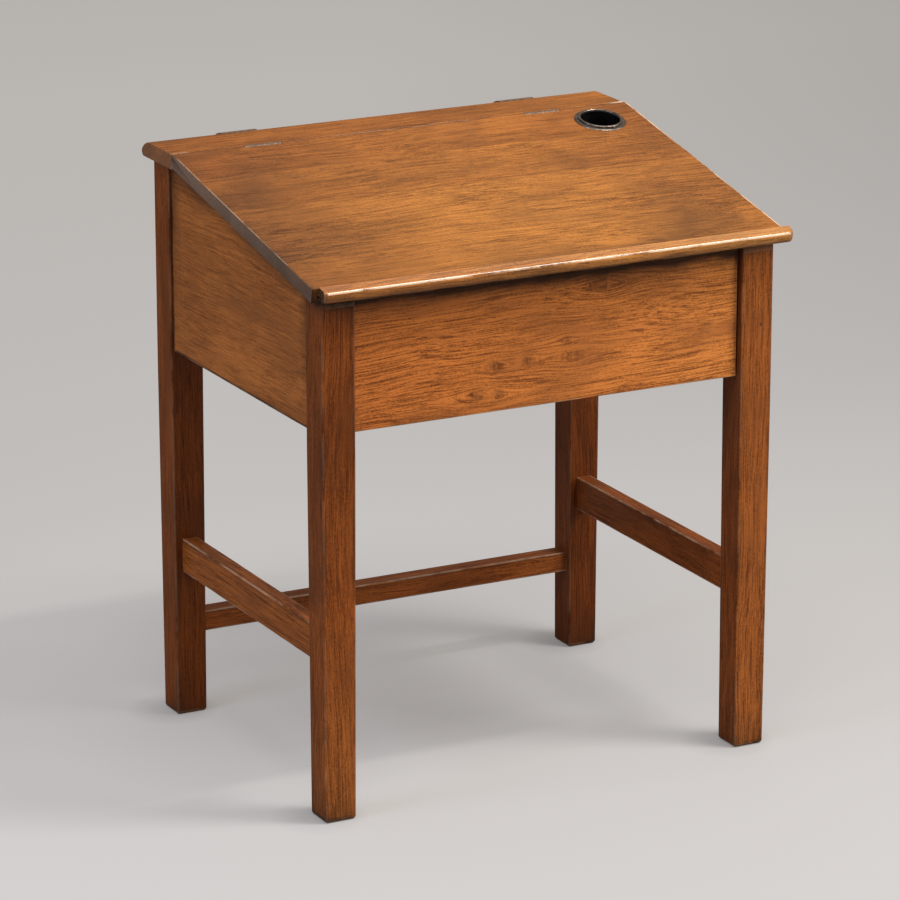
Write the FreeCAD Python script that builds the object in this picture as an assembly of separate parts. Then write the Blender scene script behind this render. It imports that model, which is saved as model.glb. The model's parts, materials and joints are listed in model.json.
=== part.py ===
import FreeCAD, Part
import math
import os

# A free-standing school desk: four tapered legs, a panelled box with a hinged sloping lid,
# a fixed ledge behind the lid, three stretchers, two strap hinges and an inkwell.
# Millimetres. +X is the sitter's right, +Y the back of the desk, +Z up.

V = FreeCAD.Vector

# Whole desk
leg_span_x = 600.0
leg_span_y = 464.0
top_height = 730.0
box_underside = 474.0

# Legs
leg_side = 42.5
foot_side = 39.5
taper_start_height = 438.0
leg_arris = 1.6
foot_bevel = 2.6

# Box panels
front_recess = 8.0
side_recess = 3.0
back_recess = 3.0
panel_thickness = 16.0
panel_arris = 0.8
tenon_thickness = 8.0
tenon_length = 14.0
tenon_shoulder = 12.0
mortise_spare = 0.5

# Box bottom
cleat_side = 14.0
cleat_lift = 2.0
bottom_thickness = 9.0

# Stretchers
side_stretcher_height = 43.0
side_stretcher_thickness = 20.0
side_stretcher_underside = 188.0
rear_stretcher_height = 26.0
rear_stretcher_thickness = 24.0
rear_stretcher_underside = 103.0
stretcher_arris = 1.4
stretcher_tenon_share = 0.45

# Ledge behind the lid
ledge_depth = 88.0
ledge_thickness = 20.0
ledge_rear_overhang = 9.0
ledge_side_overhang = 12.0
ledge_right_step = 3.0
ledge_nose_radius = 6.0
ledge_shoulder_run = 18.0
ledge_end_arris = 1.2
ledge_front_arris = 0.8
leg_stub_side = 16.0
leg_stub_height = 10.0

# Lid
lid_slope_deg = 11.3
lid_thickness = 17.0
lid_side_overhang = 12.0
lid_front_overhang = 0.6
rear_board_width = 80.0
middle_board_width = 94.0
board_tongue_thickness = 5.0
board_tongue_length = 5.0
lid_arris = 0.9
lid_rest_gap = 0.3
joint_gap = 0.4

# Nosing along the lid's front edge
nosing_depth = 19.0
nosing_proud = 2.0
nosing_drop = 12.0
nosing_left_inset = 8.0
nosing_right_reach = 7.0
nosing_top_round = 5.0
nosing_bottom_round = 4.0
nosing_back_round = 1.2
nosing_left_round_share = 0.26
nosing_right_round_share = 0.47

# Battens under the lid
batten_width = 30.0
batten_thickness = 14.0
batten_from_edge = 182.0
batten_rear_margin = 48.0
batten_front_margin = 42.0
batten_end_bevel = 8.0

# Hinges
hinge_from_edge = 120.0
hinge_width = 48.0
hinge_slot_end_gap = 0.8
leaf_thickness = 1.8
knuckle_radius = 2.2
pivot_depth = 2.6
hinge_pin_radius = 1.0
hinge_pin_clearance = 0.05
knuckle_end_gap = 0.3
knuckle_side_gap = 0.4
swing_clearance = 0.3
fixed_knuckle_share = 0.3
flap_reach = 38.0
leaf_corner_radius = 4.0

# Inkwell
inkwell_from_edge = 61.0
inkwell_down_lid = 46.6
collar_flange_radius = 32.5
collar_flange_thickness = 1.8
collar_flange_bevel = 1.0
collar_sleeve_radius = 27.5
collar_sleeve_wall = 1.4
collar_sleeve_length = 13.0
collar_clearance = 0.1
cup_clearance = 0.1
cup_wall = 1.2
cup_depth = 38.0
cup_rim_width = 3.4
cup_rim_height = 2.6
cup_rim_bevel = 0.8
cup_bottom_bevel = 4.0

overrun = 5.0

# Counting and judging
straight_share = 0.9999
full_turn_deg = 360
cubic_cm = 1000

# Worked-out places
half_x = leg_span_x / 2
half_y = leg_span_y / 2
leg_axis_x = half_x - leg_side / 2
leg_axis_y = half_y - leg_side / 2
inner_x = half_x - leg_side
inner_y = half_y - leg_side

ledge_underside = top_height - ledge_thickness
ledge_rear_y = half_y + ledge_rear_overhang
ledge_front_y = ledge_rear_y - ledge_depth
nose_y = ledge_rear_y - ledge_nose_radius
nose_z = ledge_underside + ledge_nose_radius
nose_rise = ledge_thickness - ledge_nose_radius * 2
shoulder_turn = 2 * math.atan2(nose_rise, ledge_shoulder_run)
shoulder_radius = ledge_nose_radius + ledge_shoulder_run / math.sin(shoulder_turn)
shoulder_y = nose_y - ledge_shoulder_run
shoulder_z = top_height - shoulder_radius

lid_cos = math.cos(math.radians(lid_slope_deg))
lid_sin = math.sin(math.radians(lid_slope_deg))
lid_rear_y = ledge_front_y - joint_gap
lid_front_y = -half_y - lid_front_overhang
lid_length = (lid_rear_y - lid_front_y) / lid_cos
lid_half_x = half_x + lid_side_overhang
hinge_from_middle = lid_half_x - hinge_from_edge
batten_from_middle = lid_half_x - batten_from_edge
inkwell_from_middle = lid_half_x - inkwell_from_edge
lid_down = V(0, -lid_cos, -lid_sin)
lid_up = V(0, -lid_sin, lid_cos)
lid_corner = V(0, lid_rear_y, top_height)

pivot_y = lid_rear_y - pivot_depth
pivot_z = top_height - pivot_depth
knuckle_reach = ledge_front_y - pivot_y
slot_radius = math.hypot(knuckle_reach, knuckle_radius) + swing_clearance
fixed_knuckle_length = hinge_width * fixed_knuckle_share


def box(x_low, y_low, z_low, x_high, y_high, z_high):
    """A box between two corners."""
    return Part.makeBox(x_high - x_low, y_high - y_low, z_high - z_low, V(x_low, y_low, z_low))


def side_prism(outline, x_low, x_high):
    """An outline of (y, z) points drawn out along X."""
    points = [V(x_low, y, z) for y, z in outline]
    return Part.Face(Part.makePolygon(points + points[:1])).extrude(V(x_high - x_low, 0, 0))


def on_lid(x, down, up):
    """The point at x, a distance down the slope from the lid's rear edge and up from its face."""
    return lid_corner + V(x, 0, 0) + lid_down * down + lid_up * up


def lid_prism(outline, x_low, x_high):
    """An outline of (down, up) points in the lid's own plane, drawn out along X."""
    points = [on_lid(x_low, down, up) for down, up in outline]
    return Part.Face(Part.makePolygon(points + points[:1])).extrude(V(x_high - x_low, 0, 0))


def lid_face_z(y, up):
    """Height at y of the plane that lies a distance up from the lid's face."""
    return top_height - (lid_rear_y - y) * lid_sin / lid_cos + up / lid_cos


def x_cylinder(y, z, radius, x_low, x_high):
    """A round bar along X."""
    return Part.makeCylinder(radius, x_high - x_low, V(x_low, y, z), V(1, 0, 0))


def eased(shape, size, wanted):
    """Chamfer the edges that the test picks."""
    edges = [edge for edge in shape.Edges if wanted(edge)]
    return shape.makeChamfer(size, edges) if edges else shape


def runs_along(edge, axis):
    """True for a straight edge that follows the axis."""
    along = edge.lastVertex().Point - edge.firstVertex().Point
    return along.Length > 0 and abs(along.dot(axis)) > along.Length * straight_share


# Legs

def square_ring(x, y, z, side):
    """A square with bevelled corners about the leg's axis."""
    half = side / 2
    short = half - leg_arris
    corners = [(half, short), (short, half), (-short, half), (-half, short),
               (-half, -short), (-short, -half), (short, -half), (half, -short)]
    points = [V(x + across, y + along, z) for across, along in corners]
    return Part.makePolygon(points + points[:1])


def leg_blank(x_sign, y_sign, top):
    """The leg before its joints are cut: square above, tapered on all four sides below."""
    x = x_sign * leg_axis_x
    y = y_sign * leg_axis_y
    rings = [
        square_ring(x, y, 0, foot_side - foot_bevel * 2),
        square_ring(x, y, foot_bevel, foot_side),
        square_ring(x, y, taper_start_height, leg_side),
        square_ring(x, y, top, leg_side),
    ]
    return Part.makeLoft(rings, True, True)


def above_box_line():
    """The space over the box, cut off everything that the lid rests on."""
    under = -lid_thickness - lid_rest_gap
    reach = half_x + overrun
    front_y = -half_y - overrun
    outline = [
        (front_y, lid_face_z(front_y, under)),
        (ledge_front_y, lid_face_z(ledge_front_y, under)),
        (ledge_front_y, top_height + overrun),
        (front_y, top_height + overrun),
    ]
    return side_prism(outline, -reach, reach)


def leg_stub(x_sign):
    """The stub tenon that locates the ledge on a rear leg."""
    x = x_sign * leg_axis_x
    half = leg_stub_side / 2
    return box(x - half, leg_axis_y - half, ledge_underside - overrun,
               x + half, leg_axis_y + half, ledge_underside + leg_stub_height)


# Tenons

def tenon_ends(sign, inner):
    """How far a tenon reaches along its board: from inside the shoulder into the leg."""
    return sorted((sign * (inner - tenon_shoulder), sign * (inner + tenon_length)))


def x_tenons(y_low, y_high, z_low, z_high):
    """Left and right tenons of a board that runs along X."""
    tenons = []
    for sign in (-1, 1):
        ends = tenon_ends(sign, inner_x)
        tenons.append(box(ends[0], y_low, z_low, ends[1], y_high, z_high))
    return tenons


def y_tenons(x_low, x_high, z_low, top):
    """Front and rear tenons of a board that runs along Y; top gives the height at a tenon's front end."""
    tenons = []
    for sign in (-1, 1):
        ends = tenon_ends(sign, inner_y)
        tenons.append(box(x_low, ends[0], z_low, x_high, ends[1], top(ends[0])))
    return tenons


def middle_of(face):
    """The two faces of a panel's tenon, in the middle of its thickness."""
    low = face + (panel_thickness - tenon_thickness) / 2
    return low, low + tenon_thickness


# Box panels, each with a tenon at both ends

def front_apron_parts():
    """The front board and its tenons."""
    front = -half_y + front_recess
    back = front + panel_thickness
    top = lid_face_z(back, -lid_thickness) + overrun
    board = box(-inner_x, front, box_underside, inner_x, back, top).cut(above_box_line())
    tenon_top = lid_face_z(front, -lid_thickness) - tenon_shoulder
    return board, x_tenons(*middle_of(front), box_underside + tenon_shoulder, tenon_top)


def back_panel_parts():
    """The back board, notched over the hinge straps, and its tenons."""
    back = half_y - back_recess
    front = back - panel_thickness
    board = box(-inner_x, front, box_underside, inner_x, back, ledge_underside)
    for centre in (-hinge_from_middle, hinge_from_middle):
        half = hinge_width / 2 + knuckle_end_gap
        notch_floor = ledge_underside - leaf_thickness - knuckle_end_gap
        board = board.cut(box(centre - half, front - overrun, notch_floor,
                              centre + half, back + overrun, ledge_underside + overrun))
    return board, x_tenons(*middle_of(front), box_underside + tenon_shoulder, ledge_underside - tenon_shoulder)


def side_panel_parts(sign):
    """A side board, its top edge cut to the lid's slope, and its tenons."""
    faces = sorted((sign * (half_x - side_recess), sign * (half_x - side_recess - panel_thickness)))
    board = box(faces[0], -inner_y, box_underside, faces[1], inner_y, top_height)
    board = board.cut(above_box_line())
    board = board.cut(box(faces[0] - overrun, ledge_front_y, ledge_underside,
                          faces[1] + overrun, half_y, top_height + overrun))

    def top(y):
        return min(lid_face_z(y, -lid_thickness), ledge_underside) - tenon_shoulder
    return board, y_tenons(*middle_of(faces[0]), box_underside + tenon_shoulder, top)


def lower_edges_eased(board):
    """Take the sharpness off the two long edges under a board."""
    def lowest(edge):
        level = all(abs(vertex.Point.z - box_underside) < panel_arris / 2 for vertex in edge.Vertexes)
        return level and edge.Length > panel_thickness * 2
    return eased(board, panel_arris, lowest)


# Stretchers

def stretcher_parts(x_sign, legs):
    """A side stretcher, scribed to its two legs, and its tenons."""
    x = x_sign * leg_axis_x
    half = side_stretcher_thickness / 2
    low = side_stretcher_underside
    high = low + side_stretcher_height
    bar = box(x - half, -leg_axis_y, low, x + half, leg_axis_y, high)
    bar = eased(bar, stretcher_arris, lambda edge: runs_along(edge, V(0, 1, 0)))
    for leg in legs:
        bar = bar.cut(leg)
    tenon_half = half * stretcher_tenon_share
    shoulder = stretcher_arris * 2
    return bar, y_tenons(x - tenon_half, x + tenon_half, low + shoulder, lambda y: high - shoulder)


def rear_stretcher_parts(legs):
    """The cross stretcher between the rear legs, and its tenons."""
    half = rear_stretcher_thickness / 2
    low = rear_stretcher_underside
    high = low + rear_stretcher_height
    bar = box(-leg_axis_x, leg_axis_y - half, low, leg_axis_x, leg_axis_y + half, high)
    bar = eased(bar, stretcher_arris, lambda edge: runs_along(edge, V(1, 0, 0)))
    for leg in legs:
        bar = bar.cut(leg)
    tenon_half = half * stretcher_tenon_share
    shoulder = stretcher_arris * 2
    return bar, x_tenons(leg_axis_y - tenon_half, leg_axis_y + tenon_half, low + shoulder, high - shoulder)


def mortised(leg, tenons):
    """Cut a leg for the tenons that enter it, each mortise a little deeper than its tenon."""
    for tenon in tenons:
        if tenon.distToShape(leg)[0] > 0:
            continue
        bound = tenon.BoundBox
        along_x = bound.XLength > bound.YLength
        deeper = V(mortise_spare, 0, 0) if along_x else V(0, mortise_spare, 0)
        outward = deeper if bound.Center.dot(deeper) > 0 else deeper * -1
        leg = leg.cut(tenon).cut(tenon.translated(outward))
    return leg


# Box bottom

def bottom_board():
    """The loose board in the bottom of the box, notched round the legs."""
    low = box_underside + cleat_lift + cleat_side
    side = half_x - side_recess - panel_thickness
    front = -half_y + front_recess + panel_thickness
    back = half_y - back_recess - panel_thickness
    board = box(-side, front, low, side, back, low + bottom_thickness)
    for x_sign in (-1, 1):
        for y_sign in (-1, 1):
            xs = sorted((x_sign * inner_x, x_sign * (half_x + overrun)))
            ys = sorted((y_sign * inner_y, y_sign * (half_y + overrun)))
            board = board.cut(box(xs[0], ys[0], low - overrun,
                                  xs[1], ys[1], low + bottom_thickness + overrun))
    return board


def bottom_cleats():
    """Four square strips that the bottom board rests on, glued inside the box."""
    low = box_underside + cleat_lift
    high = low + cleat_side
    side = half_x - side_recess - panel_thickness
    front = -half_y + front_recess + panel_thickness
    back = half_y - back_recess - panel_thickness
    return {
        "bottom_cleat_front": box(-inner_x, front, low, inner_x, front + cleat_side, high),
        "bottom_cleat_back": box(-inner_x, back - cleat_side, low, inner_x, back, high),
        "bottom_cleat_left": box(-side, -inner_y, low, cleat_side - side, inner_y, high),
        "bottom_cleat_right": box(side - cleat_side, -inner_y, low, side, inner_y, high),
    }


# Ledge

def nose_point(centre_y, centre_z, radius, angle):
    """A point on a round of the ledge's back, the angle counted from straight up to the rear."""
    return V(0, centre_y + radius * math.sin(angle), centre_z + radius * math.cos(angle))


def nose_arc(centre_y, centre_z, radius, start, finish):
    """An arc of the ledge's back between two angles."""
    middle = (start + finish) / 2
    points = [nose_point(centre_y, centre_z, radius, angle) for angle in (start, middle, finish)]
    return Part.Arc(*points).toShape()


def back_rounds(grow):
    """The shoulder and the nose of the ledge's back edge, grown outward by a thickness."""
    return [
        nose_arc(shoulder_y, shoulder_z, shoulder_radius + grow, 0, shoulder_turn),
        nose_arc(nose_y, nose_z, ledge_nose_radius + grow, shoulder_turn, math.pi),
    ]


def line(start, finish):
    """A straight edge in the side view."""
    return Part.LineSegment(V(0, *start), V(0, *finish)).toShape()


def rear_ledge():
    """The fixed ledge: flat on top, with a long shoulder rolling over into a round nose."""
    front = ledge_front_y
    edges = [
        line((nose_y, ledge_underside), (front, ledge_underside)),
        line((front, ledge_underside), (front, top_height)),
        line((front, top_height), (shoulder_y, top_height)),
    ] + back_rounds(0)
    face = Part.Face(Part.Wire(Part.sortEdges(edges)[0]))
    left = -half_x - ledge_side_overhang
    right = half_x + ledge_side_overhang - ledge_right_step
    ledge = face.extrude(V(right - left, 0, 0)).translated(V(left, 0, 0))
    ends = (left, right)
    ledge = eased(ledge, ledge_end_arris, lambda edge: on_end(edge, ends))
    ledge = eased(ledge, ledge_front_arris, lambda edge: at_front_top(edge, front))
    for sign in (-1, 1):
        ledge = ledge.cut(leg_stub(sign))
    for centre in (-hinge_from_middle, hinge_from_middle):
        half = hinge_width / 2
        ledge = ledge.cut(box(centre - half, front - overrun, ledge_underside - overrun,
                              centre + half, front + leaf_thickness, top_height + overrun))
    return ledge


def at_front_top(edge, front):
    """True for the long edge along the top of the ledge's front."""
    corner = Part.Vertex(0, front, top_height)
    return runs_along(edge, V(1, 0, 0)) and edge.distToShape(corner)[0] < ledge_front_arris / 2


def on_end(edge, ends):
    """True for an edge that lies in one of the two end planes."""
    xs = [vertex.Point.x for vertex in edge.Vertexes]
    return any(all(abs(x - end) < ledge_end_arris / 2 for x in xs) for end in ends)


# Lid

def lid_board(start, finish, grooved, tongued):
    """One lid board, with a groove behind and a tongue in front where it meets a neighbour."""
    tongue_high = -(lid_thickness - board_tongue_thickness) / 2
    tongue_low = tongue_high - board_tongue_thickness
    blank = lid_prism([(start, 0), (finish, 0), (finish, -lid_thickness), (start, -lid_thickness)],
                      -lid_half_x, lid_half_x)
    ends = (-lid_half_x, lid_half_x)
    blank = eased(blank, lid_arris, lambda edge: on_end(edge, ends) and runs_along(edge, lid_down))
    if grooved:
        groove = [(start - overrun, tongue_high), (start + board_tongue_length, tongue_high),
                  (start + board_tongue_length, tongue_low), (start - overrun, tongue_low)]
        blank = blank.cut(lid_prism(groove, -lid_half_x - overrun, lid_half_x + overrun))
    if tongued:
        tongue = [(finish - board_tongue_length, tongue_high), (finish + board_tongue_length, tongue_high),
                  (finish + board_tongue_length, tongue_low), (finish - board_tongue_length, tongue_low)]
        blank = blank.fuse(lid_prism(tongue, -lid_half_x + lid_arris, lid_half_x - lid_arris)).removeSplitter()
    return blank


def rear_lid_board():
    """The board at the hinges: plumb back face, rounded about the hinge axis, slotted and bored."""
    board = lid_board(-lid_thickness, rear_board_width, False, True)
    reach = lid_half_x + overrun
    board = board.cut(box(-reach, lid_rear_y, ledge_underside - lid_thickness,
                          reach, ledge_rear_y, top_height + lid_thickness))
    waste = box(-reach, pivot_y, pivot_z, reach, lid_rear_y + overrun, top_height + overrun)
    board = board.cut(waste.cut(x_cylinder(pivot_y, pivot_z, pivot_depth, -reach - overrun, reach + overrun)))
    for centre in (-hinge_from_middle, hinge_from_middle):
        half = hinge_width / 2 + hinge_slot_end_gap
        board = board.cut(x_cylinder(pivot_y, pivot_z, slot_radius, centre - half, centre + half))
        board = board.cut(box(centre - half, pivot_y, pivot_z, centre + half,
                              lid_rear_y + overrun, top_height + overrun))
        board = board.cut(box(centre - hinge_width / 2, lid_rear_y - leaf_thickness,
                              ledge_underside - lid_thickness, centre + hinge_width / 2,
                              lid_rear_y + overrun, pivot_z))
    bore = collar_sleeve_radius + collar_clearance
    return board.cut(inkwell_cylinder(bore, -lid_thickness - overrun, overrun))


def lid_boards():
    """Three edge-jointed boards make the lid."""
    first = rear_board_width
    second = rear_board_width + middle_board_width
    return {
        "lid_board_rear": rear_lid_board(),
        "lid_board_middle": lid_board(first, second, True, True),
        "lid_board_front": lid_board(second, lid_length, True, True),
    }


def nosing_plan():
    """The nosing seen square to the lid: round front corners, the right one larger."""
    left = -lid_half_x + nosing_left_inset
    right = lid_half_x + nosing_right_reach
    high = nosing_proud + overrun
    corners = [(left, lid_length), (right, lid_length),
               (right, lid_length + nosing_depth), (left, lid_length + nosing_depth)]
    points = [on_lid(x, down, high) for x, down in corners]
    tall = nosing_proud + nosing_drop + overrun * 2
    plan = Part.Face(Part.makePolygon(points + points[:1])).extrude(lid_up * -tall)
    for x, share in ((left, nosing_left_round_share), (right, nosing_right_round_share)):
        corner = Part.Vertex(on_lid(x, lid_length + nosing_depth, high))
        wanted = [edge for edge in plan.Edges
                  if runs_along(edge, lid_up) and edge.distToShape(corner)[0] < nosing_depth * share / 2]
        plan = plan.makeFillet(nosing_depth * share, wanted)
    return plan


def lid_nosing():
    """The moulding on the lid's front edge: proud of the lid, rounded at the front."""
    back = lid_length
    front = lid_length + nosing_depth
    left = -lid_half_x + nosing_left_inset
    right = lid_half_x + nosing_right_reach
    body = lid_prism([(back, nosing_proud), (front, nosing_proud),
                      (front, -nosing_drop), (back, -nosing_drop)],
                     left, right)
    rounds = ((back, nosing_proud, nosing_back_round), (front, nosing_proud, nosing_top_round),
              (front, -nosing_drop, nosing_bottom_round))
    for down, up, radius in rounds:
        wanted = [edge for edge in body.Edges if runs_along(edge, V(1, 0, 0))
                  and edge.distToShape(Part.Vertex(on_lid(left, down, up)))[0] < nosing_back_round / 2]
        body = body.makeFillet(radius, wanted)
    body = body.common(nosing_plan())
    tongue_high = -(lid_thickness - board_tongue_thickness) / 2
    tongue_low = tongue_high - board_tongue_thickness
    groove = [(back - overrun, tongue_high), (back + board_tongue_length, tongue_high),
              (back + board_tongue_length, tongue_low), (back - overrun, tongue_low)]
    return body.cut(lid_prism(groove, -lid_half_x - overrun, lid_half_x - lid_arris))


def lid_batten(centre):
    """A strip across the boards underneath, bevelled at both ends."""
    under = -lid_thickness
    rear = batten_rear_margin
    front = lid_length - batten_front_margin
    outline = [(rear, under), (front, under), (front - batten_end_bevel, under - batten_thickness),
               (rear + batten_end_bevel, under - batten_thickness)]
    half = batten_width / 2
    return lid_prism(outline, centre - half, centre + half)


# Hinges

def hinge_spans(centre):
    """The stretches along X of the two fixed knuckles and of the moving one between them."""
    left = centre - hinge_width / 2
    right = centre + hinge_width / 2
    fixed = [(left, left + fixed_knuckle_length), (right - fixed_knuckle_length, right)]
    moving = (left + fixed_knuckle_length + knuckle_end_gap, right - fixed_knuckle_length - knuckle_end_gap)
    return fixed, moving


def pin_bore(centre):
    """The hole through all the knuckles."""
    reach = hinge_width / 2 + overrun
    return x_cylinder(pivot_y, pivot_z, hinge_pin_radius + hinge_pin_clearance, centre - reach, centre + reach)


def hinge_strap(centre):
    """The fixed leaf: down the ledge's front, along under it and up round its nose to the shoulder."""
    fixed, moving = hinge_spans(centre)
    front = ledge_front_y
    low = ledge_underside - leaf_thickness
    plate_top = pivot_z + knuckle_radius
    edges = [
        line((front + leaf_thickness, ledge_underside), (front + leaf_thickness, plate_top)),
        line((front + leaf_thickness, plate_top), (front, plate_top)),
        line((front, plate_top), (front, low)),
        line((front, low), (nose_y, low)),
        line((nose_y, ledge_underside), (front + leaf_thickness, ledge_underside)),
        line((shoulder_y, top_height), (shoulder_y, top_height + leaf_thickness)),
    ] + back_rounds(0) + back_rounds(leaf_thickness)
    face = Part.Face(Part.Wire(Part.sortEdges(edges)[0]))
    strap = face.extrude(V(hinge_width, 0, 0)).translated(V(centre - hinge_width / 2, 0, 0))
    for left, right in fixed:
        strap = strap.fuse(x_cylinder(pivot_y, pivot_z, knuckle_radius, left, right))
        strap = strap.fuse(box(left, pivot_y, plate_top - leaf_thickness,
                               right, front + leaf_thickness, plate_top))
    return strap.removeSplitter().cut(pin_bore(centre))


def hinge_flap(centre):
    """The moving leaf: down the lid's back face, then forward under the lid."""
    fixed, moving = hinge_spans(centre)
    outer = lid_rear_y
    inner = lid_rear_y - leaf_thickness
    under = -lid_thickness
    tail = [on_lid(0, flap_reach, under - leaf_thickness), on_lid(0, flap_reach, under)]
    outline = [
        (outer, pivot_z), (outer, lid_face_z(outer, under - leaf_thickness)),
        (tail[0].y, tail[0].z), (tail[1].y, tail[1].z),
        (inner, lid_face_z(inner, under)), (inner, pivot_z),
    ]
    flap = side_prism(outline, centre - hinge_width / 2, centre + hinge_width / 2)
    flap = flap.makeFillet(leaf_corner_radius, [edge for edge in flap.Edges if at_tail(edge, tail)])
    for left, right in fixed:
        gap = knuckle_end_gap
        flap = flap.cut(box(left - gap, pivot_y - knuckle_radius, pivot_z - knuckle_radius - knuckle_side_gap,
                            right + gap, outer + overrun, pivot_z + overrun))
    flap = flap.fuse(x_cylinder(pivot_y, pivot_z, knuckle_radius, *moving))
    return flap.removeSplitter().cut(pin_bore(centre))


def at_tail(edge, tail):
    """True for the short upright edges at a flap's front corners."""
    ends = [V(0, vertex.Point.y, vertex.Point.z) for vertex in edge.Vertexes]
    near = leaf_thickness / 2
    return len(ends) == 2 and runs_along(edge, lid_up) and all(
        min(end.distanceToPoint(tail[0]), end.distanceToPoint(tail[1])) < near for end in ends)


def hinge_pin(centre):
    """The pin through the knuckles."""
    half = hinge_width / 2
    return x_cylinder(pivot_y, pivot_z, hinge_pin_radius, centre - half, centre + half)


# Inkwell

def inkwell_cylinder(radius, low, high):
    """A round bar square to the lid at the inkwell, between two distances up from the lid's face."""
    return Part.makeCylinder(radius, high - low, on_lid(inkwell_from_middle, inkwell_down_lid, low), lid_up)


def turned(outline):
    """Turn a (radius, up) outline about the inkwell's axis."""
    points = [V(radius, 0, up) for radius, up in outline]
    solid = Part.Face(Part.makePolygon(points + points[:1])).revolve(V(0, 0, 0), V(0, 0, 1), full_turn_deg)
    place = on_lid(inkwell_from_middle, inkwell_down_lid, 0)
    solid.Placement = FreeCAD.Placement(place, FreeCAD.Rotation(V(0, 0, 1), lid_up))
    return solid


def inkwell_collar():
    """A flanged sleeve pressed into the hole in the lid."""
    inner = collar_sleeve_radius - collar_sleeve_wall
    return turned([
        (inner, collar_flange_thickness),
        (collar_flange_radius - collar_flange_bevel * 2, collar_flange_thickness),
        (collar_flange_radius, collar_flange_thickness - collar_flange_bevel),
        (collar_flange_radius, 0),
        (collar_sleeve_radius, 0),
        (collar_sleeve_radius, -collar_sleeve_length),
        (inner, -collar_sleeve_length),
    ])


def inkwell_cup():
    """A round cup that hangs in the collar by its rim."""
    outer = collar_sleeve_radius - collar_sleeve_wall - cup_clearance
    inner = outer - cup_wall
    rim = inner + cup_rim_width
    seat = collar_flange_thickness
    top = seat + cup_rim_height
    floor = -cup_depth
    bevel = cup_bottom_bevel
    return turned([
        (0, floor - cup_wall), (outer - bevel, floor - cup_wall), (outer, floor - cup_wall + bevel),
        (outer, seat), (rim, seat), (rim, top - cup_rim_bevel), (rim - cup_rim_bevel, top),
        (inner + cup_rim_bevel, top), (inner, top - cup_rim_bevel),
        (inner, floor + bevel), (inner - bevel, floor), (0, floor),
    ])


# The desk

def carcass():
    """Everything that stands still."""
    full = {}
    names = {(-1, -1): "leg_front_left", (1, -1): "leg_front_right",
             (-1, 1): "leg_rear_left", (1, 1): "leg_rear_right"}
    for (x_sign, y_sign), name in names.items():
        top = ledge_underside if y_sign > 0 else top_height
        full[name] = leg_blank(x_sign, y_sign, top)
        if y_sign < 0:
            full[name] = full[name].cut(above_box_line())

    pairs = {
        "front_apron": front_apron_parts(),
        "back_panel": back_panel_parts(),
        "side_panel_left": side_panel_parts(-1),
        "side_panel_right": side_panel_parts(1),
        "stretcher_left": stretcher_parts(-1, [full["leg_front_left"], full["leg_rear_left"]]),
        "stretcher_right": stretcher_parts(1, [full["leg_front_right"], full["leg_rear_right"]]),
        "stretcher_rear": rear_stretcher_parts([full["leg_rear_left"], full["leg_rear_right"]]),
    }
    pieces = {}
    every_tenon = []
    for name, (board, tenons) in pairs.items():
        body = board if name.startswith("stretcher") else lower_edges_eased(board)
        for tenon in tenons:
            body = body.fuse(tenon)
            every_tenon.append(tenon)
        pieces[name] = body.removeSplitter()
    for name, leg in full.items():
        pieces[name] = mortised(leg, every_tenon)
    for sign, name in ((-1, "leg_rear_left"), (1, "leg_rear_right")):
        pieces[name] = pieces[name].fuse(leg_stub(sign)).removeSplitter()

    pieces["box_bottom"] = bottom_board()
    pieces.update(bottom_cleats())
    pieces["rear_ledge"] = rear_ledge()
    for side, sign in (("left", -1), ("right", 1)):
        centre = sign * hinge_from_middle
        pieces["hinge_strap_" + side] = hinge_strap(centre)
        pieces["hinge_pin_" + side] = hinge_pin(centre)
    return pieces


def lid():
    """Everything that swings with the lid."""
    pieces = lid_boards()
    pieces["lid_nosing"] = lid_nosing()
    for side, sign in (("left", -1), ("right", 1)):
        pieces["lid_batten_" + side] = lid_batten(sign * batten_from_middle)
        pieces["hinge_flap_" + side] = hinge_flap(sign * hinge_from_middle)
    pieces["inkwell_collar"] = inkwell_collar()
    pieces["inkwell_cup"] = inkwell_cup()
    return pieces


def main():
    os.makedirs("parts", exist_ok=True)
    pieces = carcass()
    pieces.update(lid())
    bound = Part.makeCompound(list(pieces.values())).optimalBoundingBox(False, False)
    to_middle = V(-bound.Center.x, -bound.Center.y, 0)
    for name, shape in pieces.items():
        placed = shape.translated(to_middle)
        placed.exportStep("parts/" + name + ".step")
        print(name, len(placed.Solids), "solids,", round(placed.Volume / cubic_cm, 2), "cm3,",
              "valid" if placed.isValid() else "NOT VALID")
    size = [round(length, 3) for length in (bound.XLength, bound.YLength, bound.ZLength)]
    print("pieces", len(pieces), "size", size)
    print("moved by", round(to_middle.x, 4), round(to_middle.y, 4), "lowest", round(bound.ZMin, 4))
    print("hinge axis", round(pivot_y + to_middle.y, 4), round(pivot_z, 4))
    cup_floor = on_lid(inkwell_from_middle, inkwell_down_lid, -cup_depth) + to_middle
    print("cup floor", [round(value, 4) for value in cup_floor], "axis", [round(value, 6) for value in lid_up])
    print("lid length", round(lid_length, 3), "slot radius", round(slot_radius, 3))


main()
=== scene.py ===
# %% [markdown]
# # A school desk in stained oak
#
# A desk for one pupil: four tapered legs, a box of wide boards, a sloping lid on two strap hinges, a
# fixed ledge behind it and an inkwell let into the lid. The solid parts and their places come from the
# imported model. This script gives them their looks: eased edges, grain, stain, varnish, wear, and some
# painted light and shade.

# %% Load the imported part
import json
import math
import random

import bmesh
import bpy
from mathutils import Matrix, Vector


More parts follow.
